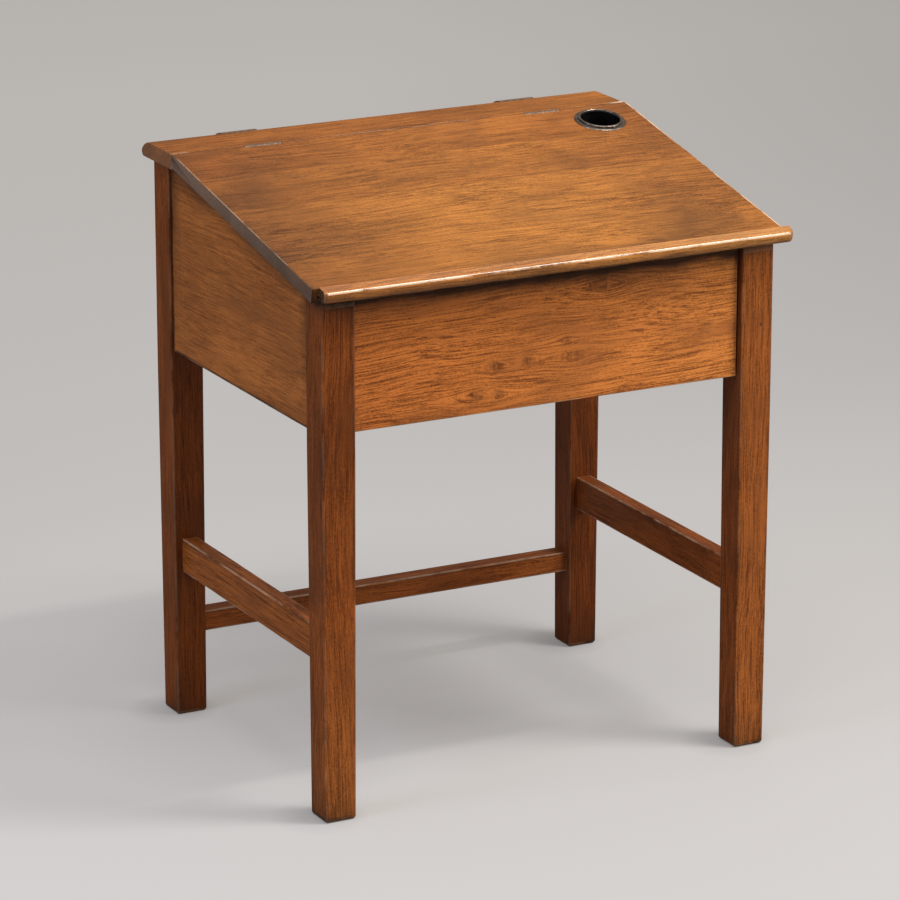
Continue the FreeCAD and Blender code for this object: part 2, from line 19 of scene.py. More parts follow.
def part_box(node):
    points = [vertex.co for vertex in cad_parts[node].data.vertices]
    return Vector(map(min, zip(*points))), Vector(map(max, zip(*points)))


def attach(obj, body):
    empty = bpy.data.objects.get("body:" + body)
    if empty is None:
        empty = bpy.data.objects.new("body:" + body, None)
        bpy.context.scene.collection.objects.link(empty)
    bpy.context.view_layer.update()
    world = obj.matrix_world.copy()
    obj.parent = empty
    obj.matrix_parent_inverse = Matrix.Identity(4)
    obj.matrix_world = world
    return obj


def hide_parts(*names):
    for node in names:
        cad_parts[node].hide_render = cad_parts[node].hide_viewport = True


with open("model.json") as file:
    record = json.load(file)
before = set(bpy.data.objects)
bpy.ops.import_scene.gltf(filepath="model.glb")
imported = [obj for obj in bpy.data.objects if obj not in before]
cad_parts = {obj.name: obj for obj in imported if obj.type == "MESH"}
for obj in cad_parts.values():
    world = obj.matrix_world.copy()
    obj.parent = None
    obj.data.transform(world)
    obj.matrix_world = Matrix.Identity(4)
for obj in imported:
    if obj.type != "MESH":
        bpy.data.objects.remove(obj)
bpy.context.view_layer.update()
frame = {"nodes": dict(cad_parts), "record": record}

# %% [markdown]
# ## Places
#
# A joiner sets a desk out from a rod: a board with every line of it drawn full size. These are the
# lines of this one, in metres. They could all be typed in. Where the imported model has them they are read
# from it instead, so that the looks follow the model if it changes.

# %% Set out the desk
mm = 0.001
box = {name: [Vector(corner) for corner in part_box(name)] for name in frame["nodes"]}
left_x = box["leg_front_left"][0].x
right_x = box["leg_front_right"][1].x
front_y = box["leg_front_left"][0].y
back_y = box["leg_rear_left"][1].y
leg_side = box["leg_front_left"][1].x - left_x
foot_side = 39.5 * mm
foot_bevel = 2.6 * mm
taper_start = 438.0 * mm
top_height = box["rear_ledge"][1].z
ledge_front_y, ledge_rear_y = box["rear_ledge"][0].y, box["rear_ledge"][1].y

lid_slope = math.radians(11.3)
lid_thickness = 17.0 * mm
lid_gap = 0.3 * mm
lid_rear_y = ledge_front_y - 0.4 * mm
lid_left, lid_right = box["lid_board_front"][0].x, box["lid_board_front"][1].x
lid_down = Vector((0, -math.cos(lid_slope), -math.sin(lid_slope)))
lid_up = Vector((0, -math.sin(lid_slope), math.cos(lid_slope)))
lid_length = 392.815 * mm
along_x = Vector((1, 0, 0))
along_y = Vector((0, 1, 0))
along_z = Vector((0, 0, 1))
hidden_lap = 1.0 * mm
leaf = 1.8 * mm
box_low = box["front_apron"][0].z
under_ledge = box["rear_ledge"][0].z
print("over the legs", round((right_x - left_x) / mm, 1), "x", round((back_y - front_y) / mm, 1), "mm")


def on_lid(x, down, up):
    """The point at x, a distance down the slope from the lid's rear edge and up from its face."""
    return Vector((x, lid_rear_y, top_height)) + lid_down * down + lid_up * up


def lid_z(y, up):
    """Height at y of the plane that lies a distance up from the lid's face."""
    return top_height - (lid_rear_y - y) * math.tan(lid_slope) + up / math.cos(lid_slope)


# %% [markdown]
# ## Mesh tools
#
# Every wooden piece starts as a few rings of points with a skin between them, the way a boat's frames
# take their planks. A cube with scaled ends would be quicker for a plain board, but a taper, a slope or a
# moulding comes out of the same few lines when it is drawn in rings.

# %% Rings and skins
dice = random.Random(11)


def cover(bm, rings, closed=False):
    """Lay faces between rings of points, with a cap at both ends or a last strip back to the first ring."""
    loops = [[bm.verts.new(point) for point in ring] for ring in rings]
    following = loops[1:] + loops[:1] if closed else loops[1:]
    for first, second in zip(loops, following):
        for here in range(len(first)):
            there = (here + 1) % len(first)
            bm.faces.new((first[here], first[there], second[there], second[here]))
    if not closed:
        bm.faces.new(list(reversed(loops[0])))
        bm.faces.new(loops[-1])


def skin(rings, closed=False):
    """A new mesh with a skin over rings of points."""
    bm = bmesh.new()
    cover(bm, rings, closed)
    bmesh.ops.recalc_face_normals(bm, faces=bm.faces)
    return bm


def block(low, high):
    """A plain box, for cutting."""
    ring = [(low[0], low[1]), (high[0], low[1]), (high[0], high[1]), (low[0], high[1])]
    return skin([[(x, y, z) for x, y in ring] for z in (low[2], high[2])])


sample = block((0, 0, 0), (1, 1, 1))
print("a block has", len(sample.verts), "points and", len(sample.faces), "faces")
sample.free()

# %% [markdown]
# ## Eased edges
#
# No edge that hands have used for years stays sharp, and a sharp one looks false because it never
# catches the light. A bevel modifier would round the edges too. Here the bevel is made in the mesh,
# because each new point also gets a note of how near it lies to an edge: the finish is rubbed there. A
# narrow border is then laid inside every wide face, so that the note fades over a few millimetres
# instead of over the whole board.

# %% Eased edges
edge_zone = 3.5 * mm


def ease(bm, arris, segments=3, least=35.0, together=False, strips=()):
    """Round every edge sharper than an angle, then mark how near each point lies to an edge."""
    layer = bm.verts.layers.float.new("arris")
    sharp = [edge for edge in bm.edges if edge.calc_face_angle(0.0) > math.radians(least)]
    rounded = bmesh.ops.bevel(bm, geom=sharp, offset=arris, segments=segments, profile=0.5, affect="EDGES",
                              clamp_overlap=True)
    for vert in rounded["verts"]:
        vert[layer] = 1.0
    wide = [face for face in bm.faces
            if face.calc_area() / sum(edge.calc_length() for edge in face.edges) > edge_zone * 0.9]
    if wide:
        if together:
            bmesh.ops.inset_region(bm, faces=wide, thickness=edge_zone, use_even_offset=True,
                                   use_boundary=True)
        else:
            bmesh.ops.inset_individual(bm, faces=wide, thickness=edge_zone, use_even_offset=True)
        for face in wide:
            for vert in face.verts:
                vert[layer] = 0.0
        for strip in strips:
            bmesh.ops.inset_region(bm, faces=wide, thickness=strip, use_even_offset=True,
                                   use_boundary=True)
    return bm


print("edge border", round(edge_zone / mm, 1), "mm")

# %% [markdown]
# ## Pieces
#
# Each piece is an object that rides with the fixed body or with the lid, and takes the place of the plain
# solid with the same name. Flat shading would show every facet of its rounded edges. So it shades
# smoothly, weighted by face size: large faces stay flat, and only the small ones between them look round.

# %% Pieces
crease_angle = math.radians(50)


def crease(bm):
    """Mark the edges that stay sharp, so that the flat faces beside them shade flat."""
    for edge in bm.edges:
        edge.smooth = edge.calc_face_angle(0.0) < crease_angle


def piece(name, bm, body, material):
    """Turn a bmesh into a piece that rides with a body."""
    mesh = bpy.data.meshes.new(name)
    crease(bm)
    bm.to_mesh(mesh)
    bm.free()
    mesh.shade_smooth()
    thing = bpy.data.objects.new(name, mesh)
    bpy.context.scene.collection.objects.link(thing)
    mesh.materials.append(material)
    soften = thing.modifiers.new("Flat faces stay flat", "WEIGHTED_NORMAL")
    soften.weight = 100
    soften.keep_sharp = True
    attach(thing, body)
    return thing


# %% [markdown]
# ## Cutting
#
# Recesses and bores are cut with an exact boolean and the result is kept as the piece's mesh. Left as
# modifiers, the cuts would be worked out again for each picture. The cuts leave spare points in the
# middle of straight edges, which fold into slivers when the faces are split into triangles, so they go.

# %% Cutting
nearly_straight = math.radians(2)


def carve(thing, cutters):
    """Cut shapes out of a piece, then drop the points that the cuts left in the middle of straight edges."""
    soften = thing.modifiers[0]
    soften.show_viewport = False
    for cutter in cutters:
        mesh = bpy.data.meshes.new("cutter")
        cutter.to_mesh(mesh)
        cutter.free()
        tool = bpy.data.objects.new("cutter", mesh)
        bpy.context.scene.collection.objects.link(tool)
        cut = thing.modifiers.new("cut", "BOOLEAN")
        cut.object = tool
        cut.operation = "DIFFERENCE"
        cut.solver = "EXACT"
        shown = thing.evaluated_get(bpy.context.evaluated_depsgraph_get())
        carved = bpy.data.meshes.new_from_object(shown)
        old = thing.data
        thing.modifiers.remove(cut)
        thing.data = carved
        bpy.data.objects.remove(tool)
        bpy.data.meshes.remove(old)
        bpy.data.meshes.remove(mesh)
    soften.show_viewport = True
    carved = bmesh.new()
    carved.from_mesh(thing.data)
    spare = [vert for vert in carved.verts
             if len(vert.link_edges) == 2 and vert.calc_edge_angle(math.pi) < nearly_straight]
    bmesh.ops.dissolve_verts(carved, verts=spare)
    crease(carved)
    carved.to_mesh(thing.data)
    carved.free()
    return thing


print("a spare point turns its edge by less than", round(math.degrees(nearly_straight)), "degrees")

# %% [markdown]
# ## Notes for the finish
#
# A board keeps the memory of the tree: its face, edge and end show one set of rings. So each point is
# told where in the tree it grew, along the trunk and out from its middle. Unwrapping the faces for an
# image would break the rings at every edge. More notes say how dark the board is, how strong its figure,
# how much it is handled and painted pale as a highlight, and where dirt has gathered and shade is painted.

# %% Notes for the finish


def mark(thing, name, values, kind="FLOAT", domain="POINT"):
    """Store one value for every point or face of a piece."""
    layer = thing.data.attributes.new(name, kind, domain)
    layer.data.foreach_set("vector" if kind == "FLOAT_VECTOR" else "value", values)


def timber(thing, along, across, pith, tone, tilt=0.0, wear_and_highlight=0.3, ends=1.0, dirt_and_shade=None, fineness=1.0,
           contrast=0.75):
    """Note for each point of a board where in the tree it grew, its tone, its wear and painted highlight, and
    its dirt and painted shade.
    """
    through = along.cross(across)
    points = [vert.co for vert in thing.data.vertices]
    middle = (Vector([min(p[i] for p in points) for i in range(3)])
              + Vector([max(p[i] for p in points) for i in range(3)])) / 2
    start = dice.uniform(5.0, 60.0)
    grown = []
    for point in points:
        rel = point - middle
        length = rel.dot(along)
        grown += [length + start, (rel.dot(across) + length * tilt) * fineness + pith[0],
                  rel.dot(through) * fineness + pith[1]]
    mark(thing, "grown", grown, "FLOAT_VECTOR")
    mark(thing, "tone", [tone(point) if callable(tone) else tone for point in points])
    mark(thing, "contrast", [contrast] * len(points))
    mark(thing, "wear_and_highlight", [wear_and_highlight(point) if callable(wear_and_highlight) else wear_and_highlight for point in points])
    mark(thing, "dirt_and_shade", [dirt_and_shade(point) if dirt_and_shade else 0.0 for point in points])
    mark(thing, "end_grain", [ends * abs(face.normal.dot(along)) ** 2 for face in thing.data.polygons],
         domain="FACE")
    return thing


note_names = ("arris", "tone", "contrast", "wear_and_highlight", "end_grain", "dirt_and_shade")
print("notes", note_names)

# %% [markdown]
# ## Oak, stained and varnished
#
# Oak grows in rings: each spring a band of open pores, then dense summer wood. A board is a slice
# through those rings, so the shader works from the distance to the tree's middle, bent a little, and
# the same rings come out on the face, the edge and the end of a board. Stain sits deepest in the pores
# and wears off the edges first. Varnish over it is satin, and duller where it is scuffed. The node
# trees are long, so a few helpers write a step of arithmetic, a stretched noise or a run of colours in
# one line each.

# %% Shader helpers


def add(tree, kind, sockets=None, **settings):
    """Add a shader node, set its options, and fill or link its sockets."""
    node = tree.nodes.new(kind)
    for key, value in settings.items():
        setattr(node, key, value)
    for key, value in (sockets or {}).items():
        if isinstance(value, bpy.types.NodeSocket):
            tree.links.new(value, node.inputs[key])
        else:
            node.inputs[key].default_value = value
    return node


def sums(tree, operation, first, second=0.0, third=0.0, clamp=False):
    """One step of arithmetic in a shader."""
    return add(tree, "ShaderNodeMath", {0: first, 1: second, 2: third},
               operation=operation, use_clamp=clamp).outputs[0]


def span(tree, value, low, high, new_low=0.0, new_high=1.0):
    """Stretch one range of values over another."""
    return add(tree, "ShaderNodeMapRange", {"Value": value, "From Min": low, "From Max": high,
                                            "To Min": new_low, "To Max": new_high}).outputs["Result"]


def stretched_noise(tree, vector, scale, size, detail=3.0, rough=0.55, twist=0.0):
    """Noise stretched along the grain."""
    placed = add(tree, "ShaderNodeVectorMath", {0: vector, 1: scale}, operation="MULTIPLY").outputs[0]
    return add(tree, "ShaderNodeTexNoise", {"Vector": placed, "Scale": size, "Detail": detail,
                                            "Roughness": rough, "Distortion": twist}).outputs["Fac"]


def ramp(tree, factor, stops):
    """A run of colours from dark to light."""
    node = add(tree, "ShaderNodeValToRGB", {"Fac": factor})
    points = node.color_ramp.elements
    while len(points) < len(stops):
        points.new(0.5)
    for point, (place, colour) in zip(points, stops):
        point.position = place
        point.color = (*colour, 1)
    return node.outputs["Color"]


def mixed(tree, factor, first, second, blend="MIX"):
    """Mix two colours."""
    node = add(tree, "ShaderNodeMix", data_type="RGBA", blend_type=blend)
    for index, value in ((0, factor), (6, first), (7, second)):
        if isinstance(value, bpy.types.NodeSocket):
            tree.links.new(value, node.inputs[index])
        else:
            node.inputs[index].default_value = value
    return node.outputs[2]


def new_group(name, inputs, outputs):
    """An empty shader group with its sockets."""
    tree = bpy.data.node_groups.new(name, "ShaderNodeTree")
    for label, kind in inputs:
        tree.interface.new_socket(label, in_out="INPUT", socket_type=kind)
    for label, kind in outputs:
        tree.interface.new_socket(label, in_out="OUTPUT", socket_type=kind)
    return tree, tree.nodes.new("NodeGroupInput"), tree.nodes.new("NodeGroupOutput")


def give(tree, result, values):
    """Link a group's values to its outputs."""
    for label, value in values.items():
        tree.links.new(value, result.inputs[label])
    return tree


print("shader groups so far", len(bpy.data.node_groups))

# %% [markdown]
# ## Figure of the oak
#
# The figure is one group for every oak piece, so that all boards come from the same kind of tree. It puts
# out rings, fine streaks, pores and two sizes of cloud. Each material then decides how much of each it
# shows.

# %% Oak figure
# Each layer of streaks: how fine it is along, across and through the board, its detail and its share.
streak_layers = [((26.0, 950.0, 950.0), 1.0, 0.56), ((9.0, 560.0, 560.0), 1.0, 0.60),
                 ((4.0, 300.0, 300.0), 2.0, 0.26), ((330.0, 600.0, 600.0), 1.0, 0.40),
                 ((3.0, 80.0, 80.0), 3.0, 0.14)]
rings_per_metre = 250.0


def oak_figure():
    """Rings, streaks, pores, blotches and clouds of an oak board, each from 0 to 1, and its relief."""
    tree, given, result = new_group(
        "Oak figure", [("Grown", "NodeSocketVector")],
        [("Rings", "NodeSocketFloat"), ("Streaks", "NodeSocketFloat"), ("Pores", "NodeSocketFloat"),
         ("Blotches", "NodeSocketFloat"), ("Clouds", "NodeSocketFloat"), ("Height", "NodeSocketFloat")])
    grown = given.outputs["Grown"]
    parts = add(tree, "ShaderNodeSeparateXYZ", {0: grown})
    wander = stretched_noise(tree, grown, (0.9, 3.0, 3.0), 2.0, 2.0, 0.5)
    wander_two = stretched_noise(tree, grown, (1.3, 4.0, 4.0), 1.7, 2.0, 0.5)
    ripple = stretched_noise(tree, grown, (6.0, 60.0, 60.0), 1.0, 3.0, 0.6)
    across = sums(tree, "MULTIPLY_ADD", wander, 0.045, parts.outputs["Y"])
    through = sums(tree, "MULTIPLY_ADD", wander_two, 0.040, parts.outputs["Z"])
    squared = sums(tree, "MULTIPLY_ADD", across, across, sums(tree, "MULTIPLY", through, through))
    radius = sums(tree, "MULTIPLY_ADD", ripple, 0.0028, sums(tree, "SQRT", squared))
    year = sums(tree, "MULTIPLY", radius, rings_per_metre)
    within = sums(tree, "FRACT", year)
    spring = sums(tree, "POWER", sums(tree, "ABSOLUTE", sums(tree, "MULTIPLY_ADD", within, 2.0, -1.0)), 1.5)
    yearly = stretched_noise(tree, grown, (2.0, 26.0, 26.0), 2.0, 3.0, 0.6)
    rings = sums(tree, "MULTIPLY", spring, span(tree, yearly, 0.32, 0.68, 0.2, 1.0))
    sway = stretched_noise(tree, grown, (9.0, 15.0, 15.0), 1.0, 2.0, 0.5)
    flow = add(tree, "ShaderNodeCombineXYZ", {
        "X": parts.outputs["X"], "Y": sums(tree, "MULTIPLY_ADD", sway, 0.007, across),
        "Z": sums(tree, "MULTIPLY_ADD", sway, 0.007, through)}).outputs[0]
    streaks = 0.5
    for scale, detail, weight in streak_layers:
        layer = stretched_noise(tree, flow, scale, 1.0, detail, 0.5)
        streaks = sums(tree, "MULTIPLY_ADD", sums(tree, "SUBTRACT", layer, 0.5), weight, streaks)
    fine = stretched_noise(tree, flow, (60.0, 850.0, 850.0), 1.0, 2.0, 0.6)
    pores = sums(tree, "MULTIPLY", span(tree, fine, 0.54, 0.68), span(tree, rings, 0.0, 0.8, 0.45, 1.0))
    blotches = stretched_noise(tree, flow, (7.0, 17.0, 17.0), 1.0, 2.5, 0.50, 0.4)
    clouds = stretched_noise(tree, flow, (3.5, 11.0, 11.0), 1.0, 3.0, 0.60, 0.5)
    height = sums(tree, "MULTIPLY_ADD", pores, -1.0, sums(tree, "MULTIPLY", streaks, 0.35))
    return give(tree, result, {"Rings": rings, "Streaks": streaks, "Pores": pores, "Blotches": blotches,
                               "Clouds": clouds, "Height": height})


figure = oak_figure()
print("figure outputs", [item.name for item in figure.interface.items_tree if item.in_out == "OUTPUT"])

# %% [markdown]
# ## Wear by hands, painted shade and painted highlight
#
# Wear starts from what the points say: how near an edge is, and how much dirt and painted shade lies there.
# A noise breaks both up, since hands don't rub evenly. Rubbed wood and the painted highlights turn pale,
# dirt and painted shade turn it dark, and small knocks leave darker scuffs all over.

# %% Hand wear and painted light


def wear_and_painted_light():
    """How pale the edges are, from rubbed finish and painted highlight, and how dark the points are, from
    dirt and painted shade, each from 0 to 1.
    """
    tree, given, result = new_group(
        "Wear and painted light",
        [("Arris", "NodeSocketFloat"), ("Dirt and painted shade", "NodeSocketFloat"), ("Grown", "NodeSocketVector")],
        [("Rubbed and lit", "NodeSocketFloat"), ("Darkening", "NodeSocketFloat"), ("Scuffs", "NodeSocketFloat")])
    grown = given.outputs["Grown"]
    arris = given.outputs["Arris"]
    patchy = stretched_noise(tree, grown, (14.0, 20.0, 20.0), 1.6, 4.0, 0.6)
    rubbed_and_lit = sums(tree, "MULTIPLY", span(tree, arris, 0.72, 1.0), span(tree, patchy, 0.38, 0.56))
    cloudy = stretched_noise(tree, grown, (9.0, 11.0, 11.0), 1.3, 5.0, 0.6)
    darkening = sums(tree, "MULTIPLY", span(tree, arris, 0.0, 0.9, 0.0, 0.48), span(tree, cloudy, 0.42, 0.66))
    gathered = span(tree, cloudy, 0.30, 0.60, 0.30, 0.62)
    darkening = sums(tree, "MULTIPLY_ADD", given.outputs["Dirt and painted shade"], gathered, darkening)
    darkening = sums(tree, "MINIMUM", darkening, 0.93)
    knocks = stretched_noise(tree, grown, (38.0, 70.0, 70.0), 1.0, 5.0, 0.7)
    scuffs = span(tree, knocks, 0.63, 0.76)
    return give(tree, result, {"Rubbed and lit": rubbed_and_lit, "Darkening": darkening, "Scuffs": scuffs})


wear_and_light = wear_and_painted_light()
print("wear outputs", [item.name for item in wear_and_light.interface.items_tree if item.in_out == "OUTPUT"])

# %% [markdown]
# ## Knots
#
# The front board has a few small knots. The grain flows round a knot like water round a stone, so each
# knot pushes the grain aside, and darkens its own middle. Painting dark spots alone would look stuck on.

# %% Knots
# Knots in the front board: x, z, radius and how dark the core is.
knot_places = [(-0.0333, 0.5303, 0.0062, 0.85), (-0.0731, 0.5282, 0.0070, 0.65),
               (-0.1016, 0.4968, 0.0085, 0.75), (-0.0729, 0.4930, 0.0070, 0.60),
               (0.0199, 0.5486, 0.0050, 0.70), (0.0279, 0.5287, 0.0110, 0.35),
               (0.0707, 0.6091, 0.0110, 0.40)]


def knot_figure(places):
    """Small knots: how far each bends the grain across the board, and where its dark core lies."""
    tree, given, result = new_group("Knots", [("Place", "NodeSocketVector")],
                                    [("Bend", "NodeSocketVector"), ("Core", "NodeSocketFloat")])
    parts = add(tree, "ShaderNodeSeparateXYZ", {0: given.outputs["Place"]})
    bend, core = 0.0, 0.0
    for x, z, radius, dark in places:
        along = sums(tree, "DIVIDE", sums(tree, "SUBTRACT", parts.outputs["X"], x), radius * 3.2)
        across = sums(tree, "DIVIDE", sums(tree, "SUBTRACT", parts.outputs["Z"], z), radius)
        square = sums(tree, "MULTIPLY", across, across)
        far = sums(tree, "MULTIPLY_ADD", along, along, sums(tree, "MULTIPLY", square, 0.22))
        near = sums(tree, "POWER", math.e, sums(tree, "MULTIPLY", far, -1.0))
        side = sums(tree, "DIVIDE", across, sums(tree, "ADD", sums(tree, "ABSOLUTE", across), 0.6))
        bend = sums(tree, "MULTIPLY_ADD", sums(tree, "MULTIPLY", near, side), -radius * 1.1, bend)
        tight = sums(tree, "MULTIPLY_ADD", sums(tree, "MULTIPLY", along, along), 7.0, square)
        spot = sums(tree, "POWER", math.e, sums(tree, "MULTIPLY", tight, -1.1))
        core = sums(tree, "MULTIPLY_ADD", spot, dark, core)
    mottled = add(tree, "ShaderNodeTexNoise", {"Vector": given.outputs["Place"], "Scale": 190.0,
                                               "Detail": 4.0, "Roughness": 0.6}).outputs["Fac"]
    core = sums(tree, "MULTIPLY", core, span(tree, mottled, 0.35, 0.60, 0.35, 1.0), clamp=True)
    joined = add(tree, "ShaderNodeCombineXYZ", {"Y": bend}).outputs[0]
    return give(tree, result, {"Bend": joined, "Core": core})


knots_of_front = knot_figure(knot_places)
print("groups", [group.name for group in bpy.data.node_groups])

# %% [markdown]
# ## Stain
#
# Two boards of one tree take a stain differently. So the stain isn't one colour but three runs of colour,
# from dark and red to light and golden: one for the wood between the pores, one for the streaks and one
# for the smudges. A board's tone picks its place on all three.

# %% Stain colours
tone_steps = (0.0, 0.32, 0.64, 0.80, 1.0)
pale_wood = ((0.200, 0.047, 0.0075), (0.375, 0.098, 0.0175), (0.570, 0.186, 0.0390), (0.660, 0.243, 0.0540),
             (0.790, 0.330, 0.0780))
dark_wood = ((0.070, 0.0145, 0.0025), (0.130, 0.030, 0.0050), (0.186, 0.057, 0.0125), (0.218, 0.073, 0.0180),
             (0.272, 0.098, 0.0240))
smudged_wood = ((0.085, 0.022, 0.0050), (0.150, 0.041, 0.0105), (0.260, 0.088, 0.0240),
                (0.320, 0.118, 0.0340), (0.390, 0.150, 0.0450))
pore_colour = (0.040, 0.012, 0.004, 1)
knot_colour = (0.055, 0.022, 0.010, 1)
end_colour = (0.235, 0.160, 0.108, 1)
# Colour of dirt and of painted shade.
dirt_and_shade_colour = (0.030, 0.014, 0.007, 1)
# Colour of rubbed finish and of painted highlights.
bare_and_highlight_colour = (0.68, 0.45, 0.28, 1)
scuff_colour = (0.10, 0.05, 0.025, 1)
print("stains", len(tone_steps), "steps")

# %% Oak finish


def oak_material(name, gloss, coat_rough=0.13, knots=None, tint=None):
    """Stained and varnished oak. The board's tone slides it from dark and red to light and golden."""
    material = bpy.data.materials.new(name)
    material.use_nodes = True
    tree = material.node_tree
    shader = tree.nodes["Principled BSDF"]
    grown = add(tree, "ShaderNodeAttribute", attribute_name="grown").outputs["Vector"]
    noted = {label: add(tree, "ShaderNodeAttribute", attribute_name=label).outputs["Fac"]
             for label in note_names}
    if knots:
        bent = add(tree, "ShaderNodeGroup", node_tree=knots)
        tree.links.new(add(tree, "ShaderNodeTexCoord").outputs["Object"], bent.inputs["Place"])
        grown = add(tree, "ShaderNodeVectorMath", {0: grown, 1: bent.outputs["Bend"]},
                    operation="ADD").outputs[0]
    look = add(tree, "ShaderNodeGroup", node_tree=figure)
    worn_and_lit = add(tree, "ShaderNodeGroup", node_tree=wear_and_light)
    tree.links.new(grown, look.inputs["Grown"])
    tree.links.new(grown, worn_and_lit.inputs["Grown"])
    tree.links.new(noted["arris"], worn_and_lit.inputs["Arris"])
    tree.links.new(noted["dirt_and_shade"], worn_and_lit.inputs["Dirt and painted shade"])
    tone = sums(tree, "MULTIPLY", noted["tone"], 0.8)
    light, dark, smudge = [ramp(tree, tone, list(zip(tone_steps, wood)))
                           for wood in (pale_wood, dark_wood, smudged_wood)]
    swing = sums(tree, "MULTIPLY", sums(tree, "SUBTRACT", look.outputs["Streaks"], 0.5), 4.2)
    swing = sums(tree, "MULTIPLY_ADD", look.outputs["Rings"], 0.20, swing)
    swing = sums(tree, "MULTIPLY", swing, noted["contrast"])
    swing = sums(tree, "ADD", swing, span(tree, look.outputs["Clouds"], 0.30, 0.70, 0.26, -0.26))
    depth = sums(tree, "ADD", swing, 0.36, clamp=True)
    colour = mixed(tree, depth, light, dark)
    colour = mixed(tree, span(tree, look.outputs["Blotches"], 0.46, 0.70, 0.0, 0.60), colour, smudge)
    colour = mixed(tree, sums(tree, "MULTIPLY", look.outputs["Pores"], 0.45), colour, pore_colour)
    if tint:
        colour = mixed(tree, 1.0, colour, tint, "MULTIPLY")
    if knots:
        colour = mixed(tree, bent.outputs["Core"], colour, knot_colour)
    streaky_end = span(tree, look.outputs["Streaks"], 0.38, 0.62, 0.96, 0.62)
    colour = mixed(tree, sums(tree, "MULTIPLY", noted["end_grain"], streaky_end), colour, end_colour)
    # Dirt and painted shade darken the wood, rubbed finish and painted highlights make it pale.
    colour = mixed(tree, worn_and_lit.outputs["Darkening"], colour, dirt_and_shade_colour)
    rubbed_and_lit = sums(tree, "MULTIPLY", worn_and_lit.outputs["Rubbed and lit"], noted["wear_and_highlight"])
    colour = mixed(tree, rubbed_and_lit, colour, bare_and_highlight_colour)
    colour = mixed(tree, sums(tree, "MULTIPLY", worn_and_lit.outputs["Scuffs"], 0.16), colour, scuff_colour)
    rough = sums(tree, "MULTIPLY_ADD", look.outputs["Streaks"], 0.16, 0.30)
    rough = sums(tree, "MULTIPLY_ADD", worn_and_lit.outputs["Scuffs"], 0.12, rough)
    bump = add(tree, "ShaderNodeBump", {"Strength": 0.28, "Distance": 0.0004,
                                        "Height": look.outputs["Height"]})
    tree.links.new(colour, shader.inputs["Base Color"])
    tree.links.new(rough, shader.inputs["Roughness"])
    tree.links.new(bump.outputs["Normal"], shader.inputs["Normal"])
    shader.inputs["IOR"].default_value = 1.45
    shader.inputs["Specular IOR Level"].default_value = 0.16
    shader.inputs["Coat Weight"].default_value = gloss
    shader.inputs["Coat Roughness"].default_value = coat_rough
    return material


oak = oak_material("Stained oak", 0.03)
polished_oak = oak_material("Oak polished by hands", 1.0, 0.20, tint=(1.02, 1.06, 0.88, 1))
lid_oak = oak_material("Oak of the lid", 0.12, 0.30, tint=(0.93, 0.965, 0.75, 1))
knotty_oak = oak_material("Oak with knots", 0.03, knots=knots_of_front, tint=(1.08, 0.93, 0.85, 1))
print("oaks", [material.name for material in (oak, polished_oak, lid_oak, knotty_oak)])

# %% [markdown]
# ## Metal
#
# The hinges are mild steel strip, browned by age. The inkwell's collar and cup are spun brass, gone nearly
# black. Both are one recipe with other numbers: a clean and a dull colour in patches, and where it is
# dull the metal is also rougher and shines less like metal.

# %% Metal finishes


def metal_material(name, clean, dull, rough_low, rough_high, grain_size, bare=(1.0, 0.75)):
    """A metal with patches of tarnish."""
    material = bpy.data.materials.new(name)
    material.use_nodes = True
    tree = material.node_tree
    shader = tree.nodes["Principled BSDF"]
    place = add(tree, "ShaderNodeTexCoord").outputs["Object"]
    patches = add(tree, "ShaderNodeTexNoise", {"Vector": place, "Scale": grain_size, "Detail": 6.0,
                                               "Roughness": 0.62}).outputs["Fac"]
    brushed = stretched_noise(tree, place, (1.0, 9.0, 9.0), grain_size * 3, 3.0, 0.6)
    amount = span(tree, patches, 0.38, 0.62)
    tree.links.new(mixed(tree, amount, clean, dull), shader.inputs["Base Color"])
    rough = sums(tree, "MULTIPLY_ADD", brushed, 0.12, span(tree, patches, 0.35, 0.65, rough_low, rough_high))
    tree.links.new(rough, shader.inputs["Roughness"])
    tree.links.new(span(tree, patches, 0.30, 0.70, *bare), shader.inputs["Metallic"])
    bump = add(tree, "ShaderNodeBump", {"Strength": 0.15, "Distance": 0.0002, "Height": patches})
    tree.links.new(bump.outputs["Normal"], shader.inputs["Normal"])
    return material


steel = metal_material("Aged steel strip", (0.30, 0.180, 0.105, 1), (0.15, 0.092, 0.058, 1),
                       0.50, 0.66, 260.0, (0.45, 0.20))
brass = metal_material("Blackened brass", (0.350, 0.280, 0.215, 1), (0.100, 0.078, 0.060, 1),
                       0.24, 0.42, 130.0)
pot_black = metal_material("Inside of the cup", (0.012, 0.010, 0.009, 1), (0.006, 0.005, 0.005, 1),
                           0.45, 0.7, 90.0)
print("metals", [material.name for material in (steel, brass, pot_black)])

# %% [markdown]
# ## Legs
#
# A leg is planed square, then tapered on all four sides below the box so that it looks lighter than it
# is. The foot's edges are bevelled, or they would splinter when the desk is dragged. A box with scaled
# ends would do for the shape. Rings are used instead, because each leg is darker at the foot and painted
# shade lies at its top under the lid and the ledge, and each place where that begins needs points of its own.

